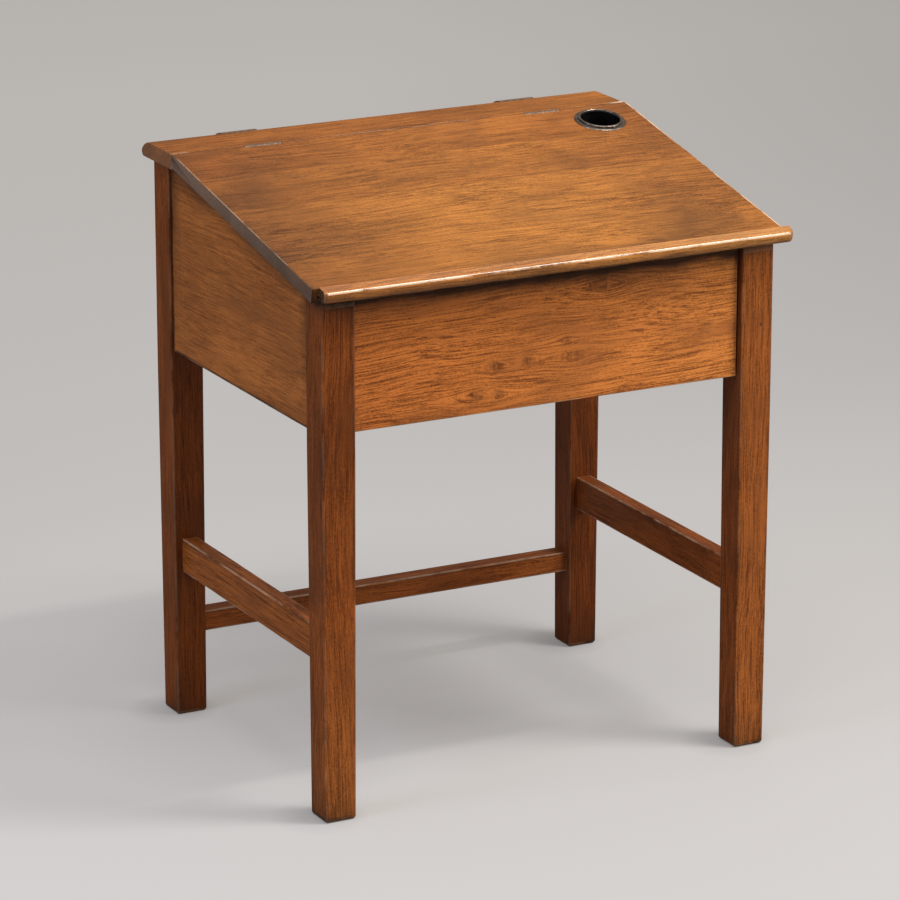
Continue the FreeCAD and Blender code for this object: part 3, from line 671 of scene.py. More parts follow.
# %% Legs
# Tone at the foot and at the box, with painted shade: the rear legs are painted dark as in the desk's shadow,
# and the front left leg is darker at the top. Then how much lighter or darker the left face is painted, as
# painted light and shade.
leg_shaded_tones = {"leg_front_left": (0.62, 0.20), "leg_front_right": (0.54, 0.48),
             "leg_rear_left": (0.02, 0.04), "leg_rear_right": (0.0, 0.02)}
left_face_shading = {"leg_front_left": -0.06, "leg_front_right": -0.26,
                   "leg_rear_left": 0.18, "leg_rear_right": 0.14}
foot_dark_height, top_shade_depth = 60.0 * mm, 26.0 * mm
taper_ring_heights = (20 * mm, foot_dark_height, 250 * mm)
top_ring_depths = (top_shade_depth, 8 * mm, 0)
# Painted shade at the tops of the legs, under the lid and the ledge.
front_top_shade, rear_top_shade = 2.0, 0.6


def leg(name):
    """One leg between its foot and its top."""
    middle = (box[name][0] + box[name][1]) / 2
    front = name.startswith("leg_front")

    def ring(side, z):
        half = side / 2
        corners = [(-half, -half), (half, -half), (half, half), (-half, half)]
        return [(middle.x + x, middle.y + y, z) for x, y in corners]

    top = [(x, y, lid_z(y, -lid_thickness - lid_gap) if front else under_ledge)
           for x, y, z in ring(leg_side, 0)]
    rings = [ring(foot_side - foot_bevel * 2, 0), ring(foot_side, foot_bevel)]
    for height in taper_ring_heights:
        rings.append(ring(foot_side + (leg_side - foot_side) * height / taper_start, height))
    rings.append(ring(leg_side, taper_start))
    rings += [[(x, y, z - down) for x, y, z in top] for down in top_ring_depths]
    thing = piece(name + "_worn", ease(skin(rings), 1.5 * mm, together=True), "carcass", oak)
    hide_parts(name)
    low_tone, high_tone = leg_shaded_tones[name]

    def tone(point):
        half = foot_side / 2 + (leg_side - foot_side) / 2 * min(1.0, point.z / taper_start)
        # Painted light and shade on the left face.
        left_shading = left_face_shading[name] if point.x < middle.x - half + 0.2 * mm else 0.0
        return max(0.0, low_tone + (high_tone - low_tone) * min(1.0, point.z / box_low) + left_shading)

    # Darker towards the foot, with painted shade at the top under the lid and the ledge.
    def dirt_and_shade(point):
        top_z = lid_z(point.y, -lid_thickness) if front else under_ledge
        low = 0.9 * max(0.0, 1.0 - point.z / foot_dark_height) ** 2
        high = max(0.0, 1.0 - (top_z - point.z) / top_shade_depth) ** 1.5
        return low + (front_top_shade if front else rear_top_shade) * high

    pith = (dice.uniform(0.03, 0.05), dice.uniform(0.05, 0.08))
    return timber(thing, along_z, along_x, pith, tone, wear_and_highlight=0.1, dirt_and_shade=dirt_and_shade,
                  contrast=0.82 if name == "leg_front_right" else 0.62)


legs = [leg(name) for name in leg_shaded_tones]
print("legs", [len(thing.data.vertices) for thing in legs])

# %% [markdown]
# ## Box
#
# The box is four wide boards tenoned into the legs, with their top edges following the lid. They are cut
# with the grain running round the desk, the way wood moves least. The bottom board lies loose on cleats
# so that it can swell without splitting the box. Wide boards shrink with the years: the joint beside the
# right front leg and the one beside the left rear leg stand open by a thin dark line. Painted shade lies
# under the moulding and the lid, and inside the box. It could be painted into the colour as an image. Here
# it is a value on rings of points at set depths, so that the shading follows each board's own edge.

# %% Board helpers
# Painted shade on the inside faces of the box.
inside_shade = 0.25
outer_skin = 0.9 * mm
under_lid = -lid_thickness - lid_gap
open_joint, tight_joint = 2.4 * mm, 0.4 * mm


def board(name, rings, across, pith, tone, along=along_x, arris=0.8 * mm, tilt=0.0, finish=oak, wear_and_highlight=0.3,
          contrast=0.75, dirt_and_shade=None, strips=()):
    """One board from its end outlines."""
    eased = ease(skin(rings), arris, together=bool(dirt_and_shade), strips=strips)
    thing = piece(name + "_board", eased, "carcass", finish)
    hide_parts(name)
    return timber(thing, along, across, pith, tone, tilt, wear_and_highlight, dirt_and_shade=dirt_and_shade, contrast=contrast)


def cross_board(y_low, y_high, z_low, top, x_low, x_high, extra=()):
    """End outlines of a board that runs along X, its top edge at a height for each of its faces."""
    outline = [(y_low, z_low), (y_high, z_low), (y_high, top(y_high)), (y_low, top(y_low))]
    outline += [(y_low, top(y_low) - down) for down in extra]
    return [[(x, y, z) for y, z in outline] for x in (x_low, x_high)]


print("open joints", round(open_joint / mm, 1), "mm")

# %% Front and back of the box
inner_left = left_x + leg_side - hidden_lap
inner_right = right_x - leg_side + hidden_lap
shade_strips = (6 * mm, 14 * mm, 24 * mm, 40 * mm)
apron_low, apron_high = box["front_apron"]
apron_top = lid_z(apron_low.y, under_lid)


def shade_under_moulding(point):
    """Painted shade under the moulding's overhang, and on the apron's inside face."""
    if point.y > apron_low.y + outer_skin:
        return inside_shade
    return 3.4 * max(0.0, 1.0 - (apron_top - point.z) / shade_strips[-1]) ** 2


apron_rings = cross_board(apron_low.y, apron_high.y, box_low, lambda y: lid_z(y, under_lid),
                          left_x + leg_side + tight_joint, right_x - leg_side - open_joint, shade_strips)
apron = board("front_apron", apron_rings, along_z, (0.012, 0.060),
              lambda point: 0.96 + 0.14 * point.x / right_x, tilt=-0.02, finish=knotty_oak, contrast=0.9,
              dirt_and_shade=shade_under_moulding)
back_rings = cross_board(box["back_panel"][0].y, box["back_panel"][1].y, box_low, lambda y: under_ledge,
                         inner_left, inner_right)
back = board("back_panel", back_rings, along_z, (0.03, 0.09), 0.45)
print("front and back points", len(apron.data.vertices), len(back.data.vertices))

# %% Sides of the box
lid_shadow = 32.0 * mm


def side_board(name):
    """A side board: level along the bottom, following the lid along the top, and level under the ledge."""
    low, high = box[name]
    outer_x = low.x if name.endswith("left") else high.x
    front, rear = front_y + leg_side + tight_joint, back_y - leg_side - open_joint
    outline = [(front, box_low), (rear, box_low), (rear, under_ledge), (ledge_front_y, under_ledge),
               (front, lid_z(front, under_lid))]

    def shade_under_lid_edge(point):
        """Painted shade under the lid's overhang and on the inside face, and darker in the joints with the
        legs.
        """
        if min(point.y - front, rear - point.y) < 1.0 * mm:
            return 1.4
        if abs(point.x - outer_x) > outer_skin:
            return inside_shade
        depth = min(lid_z(point.y, under_lid), under_ledge) - point.z
        return 1.5 * max(0.0, 1.0 - depth / lid_shadow) ** 1.3

    return board(name, [[(x, y, z) for y, z in outline] for x in (low.x, high.x)],
                 along_z, (0.02, 0.085), 0.71, along_y, contrast=0.47, dirt_and_shade=shade_under_lid_edge,
                 strips=(10 * mm, 14 * mm))


sides = [side_board("side_panel_left"), side_board("side_panel_right")]
print("side points", [len(thing.data.vertices) for thing in sides])

# %% Bottom of the box


def plain_board(name, along, across, tone):
    """A board or bar that fills its node's box."""
    low, high = box[name]
    ring = [(low.x, low.y), (high.x, low.y), (high.x, high.y), (low.x, high.y)]
    rings = [[(x, y, z) for x, y in ring] for z in (low.z, high.z)]
    pith = (dice.uniform(0.01, 0.04), dice.uniform(0.05, 0.09))
    return board(name, rings, across, pith, tone, along)


plain_board("box_bottom", along_x, along_y, 0.5)
for name in ("bottom_cleat_front", "bottom_cleat_back"):
    plain_board(name, along_x, along_y, 0.4)
for name in ("bottom_cleat_left", "bottom_cleat_right"):
    plain_board(name, along_y, along_x, 0.4)

# %% [markdown]
# ## Stretchers
#
# Three bars tie the legs low down: one at each side and a thinner one across the back. There is none in
# front, where the feet go. Each is scribed to the taper of its legs, so its ends lean a little. Worked as
# two rings, one at the bar's bottom and one at its top, the lean comes out by itself.

# %% Stretchers


def leg_face(z):
    """How far a leg's face stands in from its upper part at a height."""
    return (leg_side - foot_side) / 2 * max(0.0, (taper_start - z) / taper_start)


def stretcher(name, along, tone):
    """A bar between two legs, a hair longer than the gap so that it closes on the taper."""
    low, high = box[name]
    rings = []
    for z in (low.z, high.z):
        reach = leg_side - leg_face(z) - hidden_lap
        if along == along_x:
            x_low, x_high, y_low, y_high = left_x + reach, right_x - reach, low.y, high.y
        else:
            x_low, x_high, y_low, y_high = low.x, high.x, front_y + reach, back_y - reach
        rings.append([(x_low, y_low, z), (x_high, y_low, z), (x_high, y_high, z), (x_low, y_high, z)])
    return board(name, rings, along_z, (0.02, 0.07), tone, along, 1.3 * mm, wear_and_highlight=0.45)


stretchers = [stretcher("stretcher_left", along_y, 0.50), stretcher("stretcher_right", along_y, 0.29),
              stretcher("stretcher_rear", along_x, 0.42)]
print("stretcher points", [len(thing.data.vertices) for thing in stretchers])

# %% [markdown]
# ## Ledge
#
# The ledge behind the lid takes pens and the hinges. Its back edge is worked with a plane into a long
# shoulder and a round nose, so that nobody catches a hip on it. A bevel can't give that uneven curve, so
# the end outline is drawn from two arcs and carried along the ledge. The two hinge straps are let into
# its front edge by cutting.

# %% Ledge outline
nose_radius = 6.0 * mm
shoulder_run = 18.0 * mm
ledge_thickness = top_height - under_ledge


def ledge_outline(shrink):
    """The ledge's end outline as (y, z) points, shrunk a little for the eased ends."""
    rise = ledge_thickness - nose_radius * 2
    turn = 2 * math.atan2(rise, shoulder_run)
    big = nose_radius + shoulder_run / math.sin(turn)
    nose_y, nose_z = ledge_rear_y - nose_radius, under_ledge + nose_radius
    outline = [(ledge_front_y + shrink, top_height - ledge_thickness + shrink),
               (ledge_front_y + shrink, top_height - shrink)]
    for step in range(9):
        angle = turn * step / 8
        reach = big - shrink
        outline.append((nose_y - shoulder_run + reach * math.sin(angle),
                        top_height - big + reach * math.cos(angle)))
    for step in range(1, 11):
        angle = turn + (math.pi - turn) * step / 10
        reach = nose_radius - shrink
        outline.append((nose_y + reach * math.sin(angle), nose_z + reach * math.cos(angle)))
    return outline


print("ledge outline", len(ledge_outline(0.0)), "points")

# %% Ledge
ledge_left, ledge_right = box["rear_ledge"][0].x, box["rear_ledge"][1].x
end_ease = 1.2 * mm
cut_below, cut_past = 40.0 * mm, 5.0 * mm


def both_ends(left, right, steps):
    """Steps in from the left end and, mirrored, from the right end."""
    from_left = [(left + step[0], *step[1:]) for step in steps]
    from_right = [(right - step[0], *step[1:]) for step in steps]
    return from_left + from_right[::-1]


ledge_stations = both_ends(ledge_left, ledge_right,
                           [(0.0, end_ease), (end_ease * 0.3, end_ease * 0.3), (end_ease, 0.0)])
ledge_bm = skin([[(x, y, z) for y, z in ledge_outline(shrink)] for x, shrink in ledge_stations])
ledge = piece("rear_ledge_moulded", ease(ledge_bm, 1.1 * mm, 2, 60.0), "carcass", lid_oak)
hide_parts("rear_ledge")
hinge_boxes = {side: box["hinge_strap_" + side] for side in ("left", "right")}
carve(ledge, [block((low.x, ledge_front_y - cut_past, top_height - cut_below),
                    (high.x, ledge_front_y + leaf, top_height + cut_past))
              for low, high in hinge_boxes.values()])
# Painted shade in the gap along the ledge's front edge, where the lid meets it.
timber(ledge, along_x, along_y, (0.02, 0.075), lambda point: 0.64 + 0.07 * point.x / right_x, wear_and_highlight=0.9,
       ends=0.35, dirt_and_shade=lambda point: 1.6 if point.y < ledge_front_y + 0.2 * mm else 0.0)
print("ledge points", len(ledge.data.vertices))

# %% [markdown]
# ## Lid
#
# Three boards are glued edge to edge, tongue in groove, so that the lid stays flat. The rearmost carries
# the hinges and is bored for the inkwell. Its back edge is rounded about the hinge pin, so the joint with
# the ledge stays closed as the lid swings. That edge is painted pale: rubbed finish and a painted highlight.
# Both sides of the writing slope, the joint at the back and the front edge behind the moulding are painted
# darker as painted shade, the front board is painted lighter, partly as a painted sheen, and ink was once
# spilt near the front. All this wear and painted light is drawn as values on the boards' own points: one
# image over the lid would be simpler, but would swim over the joints.

# %% Set out the lid
joint_downs = [0.0, 80.0 * mm, 174.0 * mm, lid_length]
lid_names = ["lid_board_rear", "lid_board_middle", "lid_board_front"]
# Tones of the boards, rear to front: the front board is painted lighter, partly a painted sheen.
lid_tones_and_sheen = [0.74, 0.85, 0.94]
lid_piths = [(0.03, 0.10), (-0.02, 0.085), (0.035, 0.12)]
pivot = Vector(frame["record"]["behaviour"]["joints"][0]["pos_m"])
pivot_depth = 2.2 * mm
# Width of the strip along the moulding that is painted darker.
darker_strip = 16.0 * mm
# Width of the rear edge that is painted pale: rubbed finish and a painted highlight.
worn_and_lit_edge = 4.6 * mm
stain_x = lid_right - 115.0 * mm
# From each end of the lid inward: the distance, how far the outline shrinks, and the edge wear.
lid_end_steps = [(0.0, 0.6 * mm, 0.0), (0.18 * mm, 0.18 * mm, 1.0), (0.6 * mm, 0.0, 1.0),
                 (1.5 * mm, 0.0, 1.0), (edge_zone, 0.0, 0.0),
                 (115 * mm, 0.0, 0.0), (230 * mm, 0.0, 0.0)]


def lid_place(point):
    """How far a point lies down the slope and up from the lid's face."""
    reach = point - on_lid(0, 0, 0)
    return reach.dot(lid_down), reach.dot(lid_up)


lid_stations = both_ends(lid_left, lid_right, lid_end_steps)
print("pin at", [round(value, 4) for value in pivot], "with", len(lid_stations), "stations along the lid")

# %% Wear and painted light on the lid


def lid_shade_and_stain(point):
    """The ends darker towards the front and the bottom; painted shade in the joint at the back, on the front
    edge behind the moulding and at both sides of the slope; an ink stain; a darker strip along the moulding.
    """
    down, up = lid_place(point)
    on_end = min(point.x - lid_left, lid_right - point.x) < 0.05 * mm
    # The ends grow darker towards the front and the bottom.
    if on_end and down > 1.0 * mm:
        return 0.05 + 0.85 * down / lid_length - 0.25 * up / lid_thickness
    # Painted shade in the gap at the back, by the ledge.
    if down < 1.0 * mm:
        return 1.6
    # Painted shade on the front edge behind the moulding.
    if lid_length - down < 0.1 * mm:
        return 0.8 if up > -1.0 * mm else 1.8
    # Painted shade at both sides of the slope.
    shade_and_ink = 0.90 * max(0.0, -point.x / lid_right) + 0.62 * max(0.0, point.x / lid_right)
    # An ink stain near the front.
    if abs(point.x - stain_x) < 5 * mm and down > lid_length - 20 * mm:
        shade_and_ink += 0.4
    # A darker strip along the moulding.
    inside = lid_left + edge_zone * 0.8 < point.x < lid_right - edge_zone * 0.8
    return shade_and_ink + (0.55 * max(0.0, 1.0 - (lid_length - down) / darker_strip) if inside else 0.0)


def lid_shade(x):
    """Painted shade: the lid is painted darker to the left, and a little to the right."""
    return -0.22 * max(0.0, -x) / lid_right - 0.16 * max(0.0, x) / lid_right


def lid_wear_and_highlight(point):
    """The finish is rubbed most along the joint at the back, which is also painted pale as a highlight, then
    at the right end.
    """
    down, up = lid_place(point)
    if up < -lid_thickness / 2:
        return 0.15
    if down < worn_and_lit_edge and point.x > lid_left + 2.0 * mm:
        return 1.8
    return 1.1 if point.x > 0 else 0.35


# Painted shade across the middle of the slope.
print("grime on the slope", [round(lid_shade_and_stain(on_lid(share * lid_right, lid_length / 2, 0)), 2)
                             for share in (-0.9, 0.0, 0.9)])

# %% Lid boards


def rear_edge():
    """The lid's rear edge as (down, up) points: rounded about the hinge pin, then straight down."""
    rear = on_lid(0, 0, 0)
    crest = lid_slope + math.asin((rear - pivot).dot(lid_up) / pivot_depth)
    points = []
    for step in range(5):
        angle = crest * (1 - step / 4)
        points.append(pivot + Vector((0, math.cos(angle), math.sin(angle))) * pivot_depth)
    points.append(Vector((0, pivot.y + pivot_depth, lid_z(pivot.y + pivot_depth, -lid_thickness))))
    return [lid_place(point) for point in points]


def lid_board(number):
    """One of the lid's boards, with its edges rounded at both ends and left square where it is glued."""
    start, finish = joint_downs[number], joint_downs[number + 1]
    outline = rear_edge() if number == 0 else [(start, 0.0), (start, -lid_thickness)]
    outline += [(finish, -lid_thickness), (finish, 0.0)]
    if number == len(lid_names) - 1:
        outline.append((finish - darker_strip, 0.0))
    if number == 0:
        outline.append((worn_and_lit_edge, 0.0))
    rings = [[on_lid(x, down, min(-shrink, max(shrink - lid_thickness, up))) for down, up in outline]
             for x, shrink, arris in lid_stations]
    bm = skin(rings)
    layer = bm.verts.layers.float.new("arris")
    for vert in bm.verts:
        down, up = lid_place(vert.co)
        # The rear edge is marked as an edge: rubbed finish and a painted highlight.
        at_rear = number == 0 and up > -1.0 * mm and down < worn_and_lit_edge - 0.5 * mm
        nearest = min((abs(vert.co.x - x), arris) for x, shrink, arris in lid_stations)
        vert[layer] = 1.0 if at_rear else nearest[1]
    thing = piece(lid_names[number] + "_planed", bm, "lid", lid_oak)
    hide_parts(lid_names[number])
    return thing


lid_boards = [lid_board(number) for number in range(3)]
print("lid boards", [len(thing.data.vertices) for thing in lid_boards])

# %% Bore and slot the lid
ink_middle = on_lid(lid_right - 61.0 * mm, 46.6 * mm, 0.0)
bore_radius = 27.6 * mm
knuckle_slot_radius, knuckle_play = 4.02 * mm, 0.8 * mm


def turned_rings(outline, place, axis, segments=72):
    """Rings of points round an axis, one for each (radius, up) of an outline."""
    turn = axis.to_track_quat("Z", "Y").to_matrix()
    rings = []
    for radius, up in outline:
        ring = []
        for step in range(segments):
            angle = 2 * math.pi * step / segments
            ring.append(place + turn @ Vector((radius * math.cos(angle), radius * math.sin(angle), up)))
        rings.append(ring)
    return rings


cutters = [skin(turned_rings([(bore_radius, -30 * mm), (bore_radius, 10 * mm)], ink_middle, lid_up, 96))]
for low, high in hinge_boxes.values():
    ring = [(pivot.y + knuckle_slot_radius * math.cos(math.radians(turn)),
             pivot.z + knuckle_slot_radius * math.sin(math.radians(turn))) for turn in range(0, 360, 15)]
    cutters.append(skin([[(x, y, z) for y, z in ring]
                         for x in (low.x - knuckle_play, high.x + knuckle_play)]))
    cutters.append(block((low.x, lid_rear_y - leaf, top_height - cut_below),
                         (high.x, lid_rear_y + cut_past, pivot.z)))
carve(lid_boards[0], cutters)
for thing, tone, pith in zip(lid_boards, lid_tones_and_sheen, lid_piths):
    timber(thing, along_x, lid_down, pith, lambda point: tone + lid_shade(point.x), wear_and_highlight=lid_wear_and_highlight,
           dirt_and_shade=lid_shade_and_stain, fineness=0.7, contrast=0.62)
print("rear board after cutting", len(lid_boards[0].data.vertices), "points")

# %% [markdown]
# ## Nosing
#
# A separate moulding covers the front edges of the boards. It stands a little proud of the lid to stop a
# pencil, and its round front is where a hand lifts the lid. Its varnished crest shines, and is painted pale
# as well: rubbed finish and a painted highlight. Its left end stops short of the lid's edge and its right
# end runs past it, as this one does: somebody cut it by eye. A bevelled bar would have the same round
# everywhere. Here the outline changes from place to place, so that the front corners round off in plan too.

# %% Nosing outline
nosing_depth, nosing_proud, nosing_drop = 19.0 * mm, 2.0 * mm, 12.0 * mm
nosing_left, nosing_right = lid_left + 8.0 * mm, lid_right + 7.0 * mm
crest_round = 5.0 * mm


def nosing_outline(reach, shrink):
    """The moulding's outline as (down, up) points for a depth, with round front edges."""
    outline = []
    corners = ((0.0, -nosing_drop, 0.8 * mm, 180), (reach, -nosing_drop, 4.0 * mm, 270),
               (reach, nosing_proud, crest_round, 0), (0.0, nosing_proud, 1.2 * mm, 90))
    for down, up, radius, start in corners:
        radius = min(radius, reach * 0.45)
        middle_down = down + radius * (1 if down == 0.0 else -1)
        middle_up = up + radius * (1 if up < 0 else -1)
        for step in range(7):
            angle = math.radians(start + 90 * step / 6)
            outline.append((middle_down + (radius - shrink) * math.cos(angle),
                            middle_up + (radius - shrink) * math.sin(angle)))
    return outline


def nosing_stations():
    """Places along the moulding with its depth there: the front corners are rounded in plan."""
    stations = []
    for end, inward, radius in ((nosing_left, 1, 5.0 * mm), (nosing_right, -1, 9.0 * mm)):
        group = [(end, nosing_depth - radius, 0.7 * mm)]
        for step in range(9):
            angle = math.radians(90 * step / 8)
            group.append((end + inward * (0.15 * mm + radius * (1 - math.cos(angle))),
                          nosing_depth - radius * (1 - math.sin(angle)), 0.0))
        stations += group if inward > 0 else list(reversed(group))
    return stations


nosing_rings = [[on_lid(x, lid_length + down, up) for down, up in nosing_outline(reach, shrink)]
                for x, reach, shrink in nosing_stations()]
print("nosing", len(nosing_rings), "rings of", len(nosing_rings[0]), "points")

# %% Wear and painted light on the nosing
# Height over which the moulding darkens towards its foot.
nosing_darkening_height = 11.0 * mm


def on_highlight_crest(point):
    """True on the middle of the moulding's round front edge, which is painted pale: rubbed finish and a
    painted highlight.
    """
    down, up = lid_place(point)
    down -= lid_length + nosing_depth - crest_round
    up -= nosing_proud - crest_round
    on_round = abs(math.hypot(down, up) - crest_round) < 0.1 * mm
    return on_round and 25 < math.degrees(math.atan2(up, down)) < 65


def nosing_darkening(point):
    """Painted shade on the left end, and darker towards the foot of the moulding."""
    if point.x < nosing_left + 0.5 * mm:
        return 1.5
    height = lid_place(point)[1] + nosing_drop
    return 0.90 * min(1.0, max(0.0, 1.0 - height / nosing_darkening_height))


nosing_bm = ease(skin(nosing_rings), 0.3 * mm, 1, 70.0)
bmesh.ops.remove_doubles(nosing_bm, verts=nosing_bm.verts, dist=0.001 * mm)
# The crest is marked as an edge, so that it is painted pale as a highlight.
for vert in nosing_bm.verts:
    if on_highlight_crest(vert.co):
        vert[nosing_bm.verts.layers.float["arris"]] = 1.0
nosing = piece("lid_nosing_moulded", nosing_bm, "lid", polished_oak)
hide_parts("lid_nosing")
# The crest takes a strong painted highlight over its rubbed finish.
timber(nosing, along_x, lid_down, (0.01, 0.06), lambda point: 0.93 + 0.15 * point.x / right_x, ends=0.5,
       wear_and_highlight=lambda point: 1.3 if on_highlight_crest(point) else 0.25, dirt_and_shade=nosing_darkening)
print("nosing points", len(nosing.data.vertices))

# %% [markdown]
# ## Battens
#
# Boards in a lid want to cup. Two strips screwed across them underneath keep them flat. Their ends are
# cut on the slant, so that no book catches on them. They could be boxes turned to the slope. Drawn in
# the lid's own measures, down its slope and up from its face, they need no turning.

# %% Battens
batten_names = ("lid_batten_left", "lid_batten_right")
batten_thickness, batten_slant = 14.0 * mm, 8.0 * mm


def batten(name):
    """A strip under the lid with slanting ends."""
    low, high = box[name]
    under, lower = -lid_thickness, -lid_thickness - batten_thickness
    rear, front = 48.0 * mm, lid_length - 42.0 * mm
    outline = [(rear, under), (front, under), (front - batten_slant, lower), (rear + batten_slant, lower)]
    rings = [[on_lid(x, down, up) for down, up in outline] for x in (low.x, high.x)]
    thing = piece(name + "_strip", ease(skin(rings), 1.0 * mm), "lid", oak)
    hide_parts(name)
    return timber(thing, lid_down, along_x, (0.02, 0.05), 0.42)


battens = [batten(name) for name in batten_names]
print("battens", [thing.name for thing in battens])

# %% [markdown]
# ## Inkwell
#
# The collar is spun from sheet over a former and pressed into the hole. The cup hangs in it by its
# rolled rim and lifts out to be washed. A stack of cylinders would show a seam at every change of width.
# So both are drawn the way they are spun: one closed line of radius and height, in millimetres, turned
# about the hole's axis. Old ink has blackened the cup's inside.

# %% Inkwell
collar_line = [(26.1, -13.0), (26.1, 1.5), (26.5, 1.85), (27.4, 1.9), (29.0, 1.75), (30.6, 1.55), (31.7, 1.2),
               (32.3, 0.7), (32.5, 0.1), (32.2, 0.0), (27.5, 0.0), (27.5, -13.0)]
cup_radius, rim_radius, rim_rise, rim_height = 24.8, 1.7, 1.25, 3.1
rim_line = [(cup_radius + rim_radius + rim_radius * math.cos(math.radians(turn)),
             rim_height + rim_rise * math.sin(math.radians(turn))) for turn in range(-60, 200, 20)]
cup_line = rim_line + [(cup_radius, 1.5), (cup_radius, -20.0), (24.7, -34.0), (23.4, -37.0), (20.5, -38.0),
                       (0.4, -38.0), (0.4, -39.2), (21.0, -39.2), (24.4, -37.9), (26.0, -34.8), (26.0, 1.8)]


def spun(name, line):
    """A closed line of (radius, up) points in millimetres, turned about the inkwell's axis."""
    rings = turned_rings([(radius * mm, up * mm) for radius, up in line], ink_middle, lid_up)
    thing = piece(name + "_spun", skin(rings, closed=True), "lid", brass)
    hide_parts(name)
    return thing


spun("inkwell_collar", collar_line)
cup = spun("inkwell_cup", cup_line)
cup.data.materials.append(pot_black)
for polygon in cup.data.polygons:
    reach = polygon.center - ink_middle
    up = reach.dot(lid_up)
    if -38.6 * mm < up < 1.2 * mm and (reach - lid_up * up).length < 25.0 * mm:
        polygon.material_index = 1
print("inkwell at", [round(value, 4) for value in ink_middle])

# %% [markdown]
# ## Hinges and screws
#
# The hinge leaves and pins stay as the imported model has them, and only get their metal. Slotted screws
# hold them, and more of them hold the battens. Each head is turned to its own angle, as screws are left.
# A slot could be cut with a boolean. Two half heads standing on a thin disc give the same slot with far
# fewer and cleaner faces.

# %% Hinges
for name in ("hinge_strap_left", "hinge_strap_right", "hinge_flap_left", "hinge_flap_right",
             "hinge_pin_left", "hinge_pin_right"):
    thing = frame["nodes"][name]
    if thing.material_slots:
        for held in thing.material_slots:
            held.material = steel
    else:
        thing.data.materials.append(steel)
print("hinge metal", steel.name)

# %% Screw heads
head_radius, half_slot = 3.8 * mm, 0.45 * mm
from_strip_middle, into_flap, into_strap = 14 * mm, 25 * mm, 24 * mm
batten_screw_downs = (66 * mm, 132 * mm, 215 * mm, 318 * mm)
# The head's dome from its rim up: share of the radius, and height in millimetres.
head_dome = ((1.0, -0.5), (1.0, 0.05), (0.86, 0.28), (0.55, 0.46))


def screw_head(bm, place, outward):
    """A domed countersunk head with a slot across it, added to a group."""
    turn = outward.to_track_quat("Z", "Y").to_matrix().to_4x4()
    placed = Matrix.Translation(place) @ turn @ Matrix.Rotation(dice.uniform(0, math.pi), 4, "Z")

    def at(radius, angle, up, side=1):
        return placed @ Vector((radius * math.cos(angle), side * radius * math.sin(angle), up * mm))

    for side in (1, -1):
        rings = []
        for share, up in head_dome:
            start = math.asin(half_slot / (head_radius * share))
            rings.append([at(head_radius * share, start + (math.pi - 2 * start) * step / 14, up, side)
                          for step in range(15)])
        cover(bm, rings)
    cover(bm, [[at(head_radius * 0.97, step * math.pi / 8, up) for step in range(16)]
               for up in (-0.6, -0.35)])


def screws(name, places, body):
    """A group of screw heads."""
    bm = bmesh.new()
    for place, outward in places:
        screw_head(bm, place, outward)
    bmesh.ops.recalc_face_normals(bm, faces=bm.faces)
    thing = piece(name, bm, body, steel)
    for polygon in thing.data.polygons:
        polygon.use_smooth = False
    return thing


flap_places, strap_places, batten_places = [], [], []
for low, high in hinge_boxes.values():
    middle = (low.x + high.x) / 2
    for side in (-1, 1):
        x = middle + side * from_strip_middle
        flap_places.append((on_lid(x, into_flap, -lid_thickness - leaf), -lid_up))
        strap_places.append((Vector((x, ledge_front_y + into_strap, top_height - ledge_thickness - leaf)),
                             -along_z))
for name in batten_names:
    middle = (box[name][0].x + box[name][1].x) / 2
    for down in batten_screw_downs:
        batten_places.append((on_lid(middle, down, -lid_thickness - batten_thickness), -lid_up))
screws("flap_screw_heads", flap_places, "lid")
screws("strap_screw_heads", strap_places, "carcass")
screws("batten_screw_heads", batten_places, "lid")
print("screws", len(flap_places) + len(strap_places) + len(batten_places))

# %% [markdown]
# ## Pegs
#
# A peg driven through the leg and its tenon pulls the joint tight. Two of them still show as dark dots
# under the varnish: one in the front of the right leg and one in the side of the left leg. A dark spot in
# the colour would do from afar, but a peg's end stands out a little and catches the light.

# %% Pegs
peg_line = [(2.3, -1.0), (2.3, 0.05), (1.9, 0.25), (1.2, 0.12), (0.5, -0.1)]
peg_places = [(Vector((right_x - 15.5 * mm, front_y, 537 * mm)), -along_y),
              (Vector((left_x, front_y + 30 * mm, 495 * mm)), -along_x)]
peg_bm = bmesh.new()
for place, outward in peg_places:
    cover(peg_bm, turned_rings([(radius * mm, up * mm) for radius, up in peg_line], place, outward, 20))
bmesh.ops.recalc_face_normals(peg_bm, faces=peg_bm.faces)
pegs = piece("tenon_pegs", peg_bm, "carcass", oak)
timber(pegs, along_z, along_x, (0.02, 0.05), 0.35, wear_and_highlight=0.0,
       dirt_and_shade=lambda point: 1.6 if min((point - place).length for place, _ in peg_places) < 1.4 * mm else 0.2)
print("pegs", len(peg_places))

# %% [markdown]
# ## Room
#
# A pale floor runs on behind the desk without a corner, as on a roll of paper. A wide soft lamp hangs
# above the front, a narrow strip above the right draws the bright line along the nosing, one lamp stands
# to the right, a weak one behind and a cool one to the left, and an even light comes from all round.
# A floor lit only by lamps would be too dark at its far end or too bright near by. So it also glows a
# little by itself, by an amount that changes over the floor, but only to the camera: the desk gets none
# of that light. Under each foot the glow is held back, a painted contact shadow, or the feet would seem to
# float.

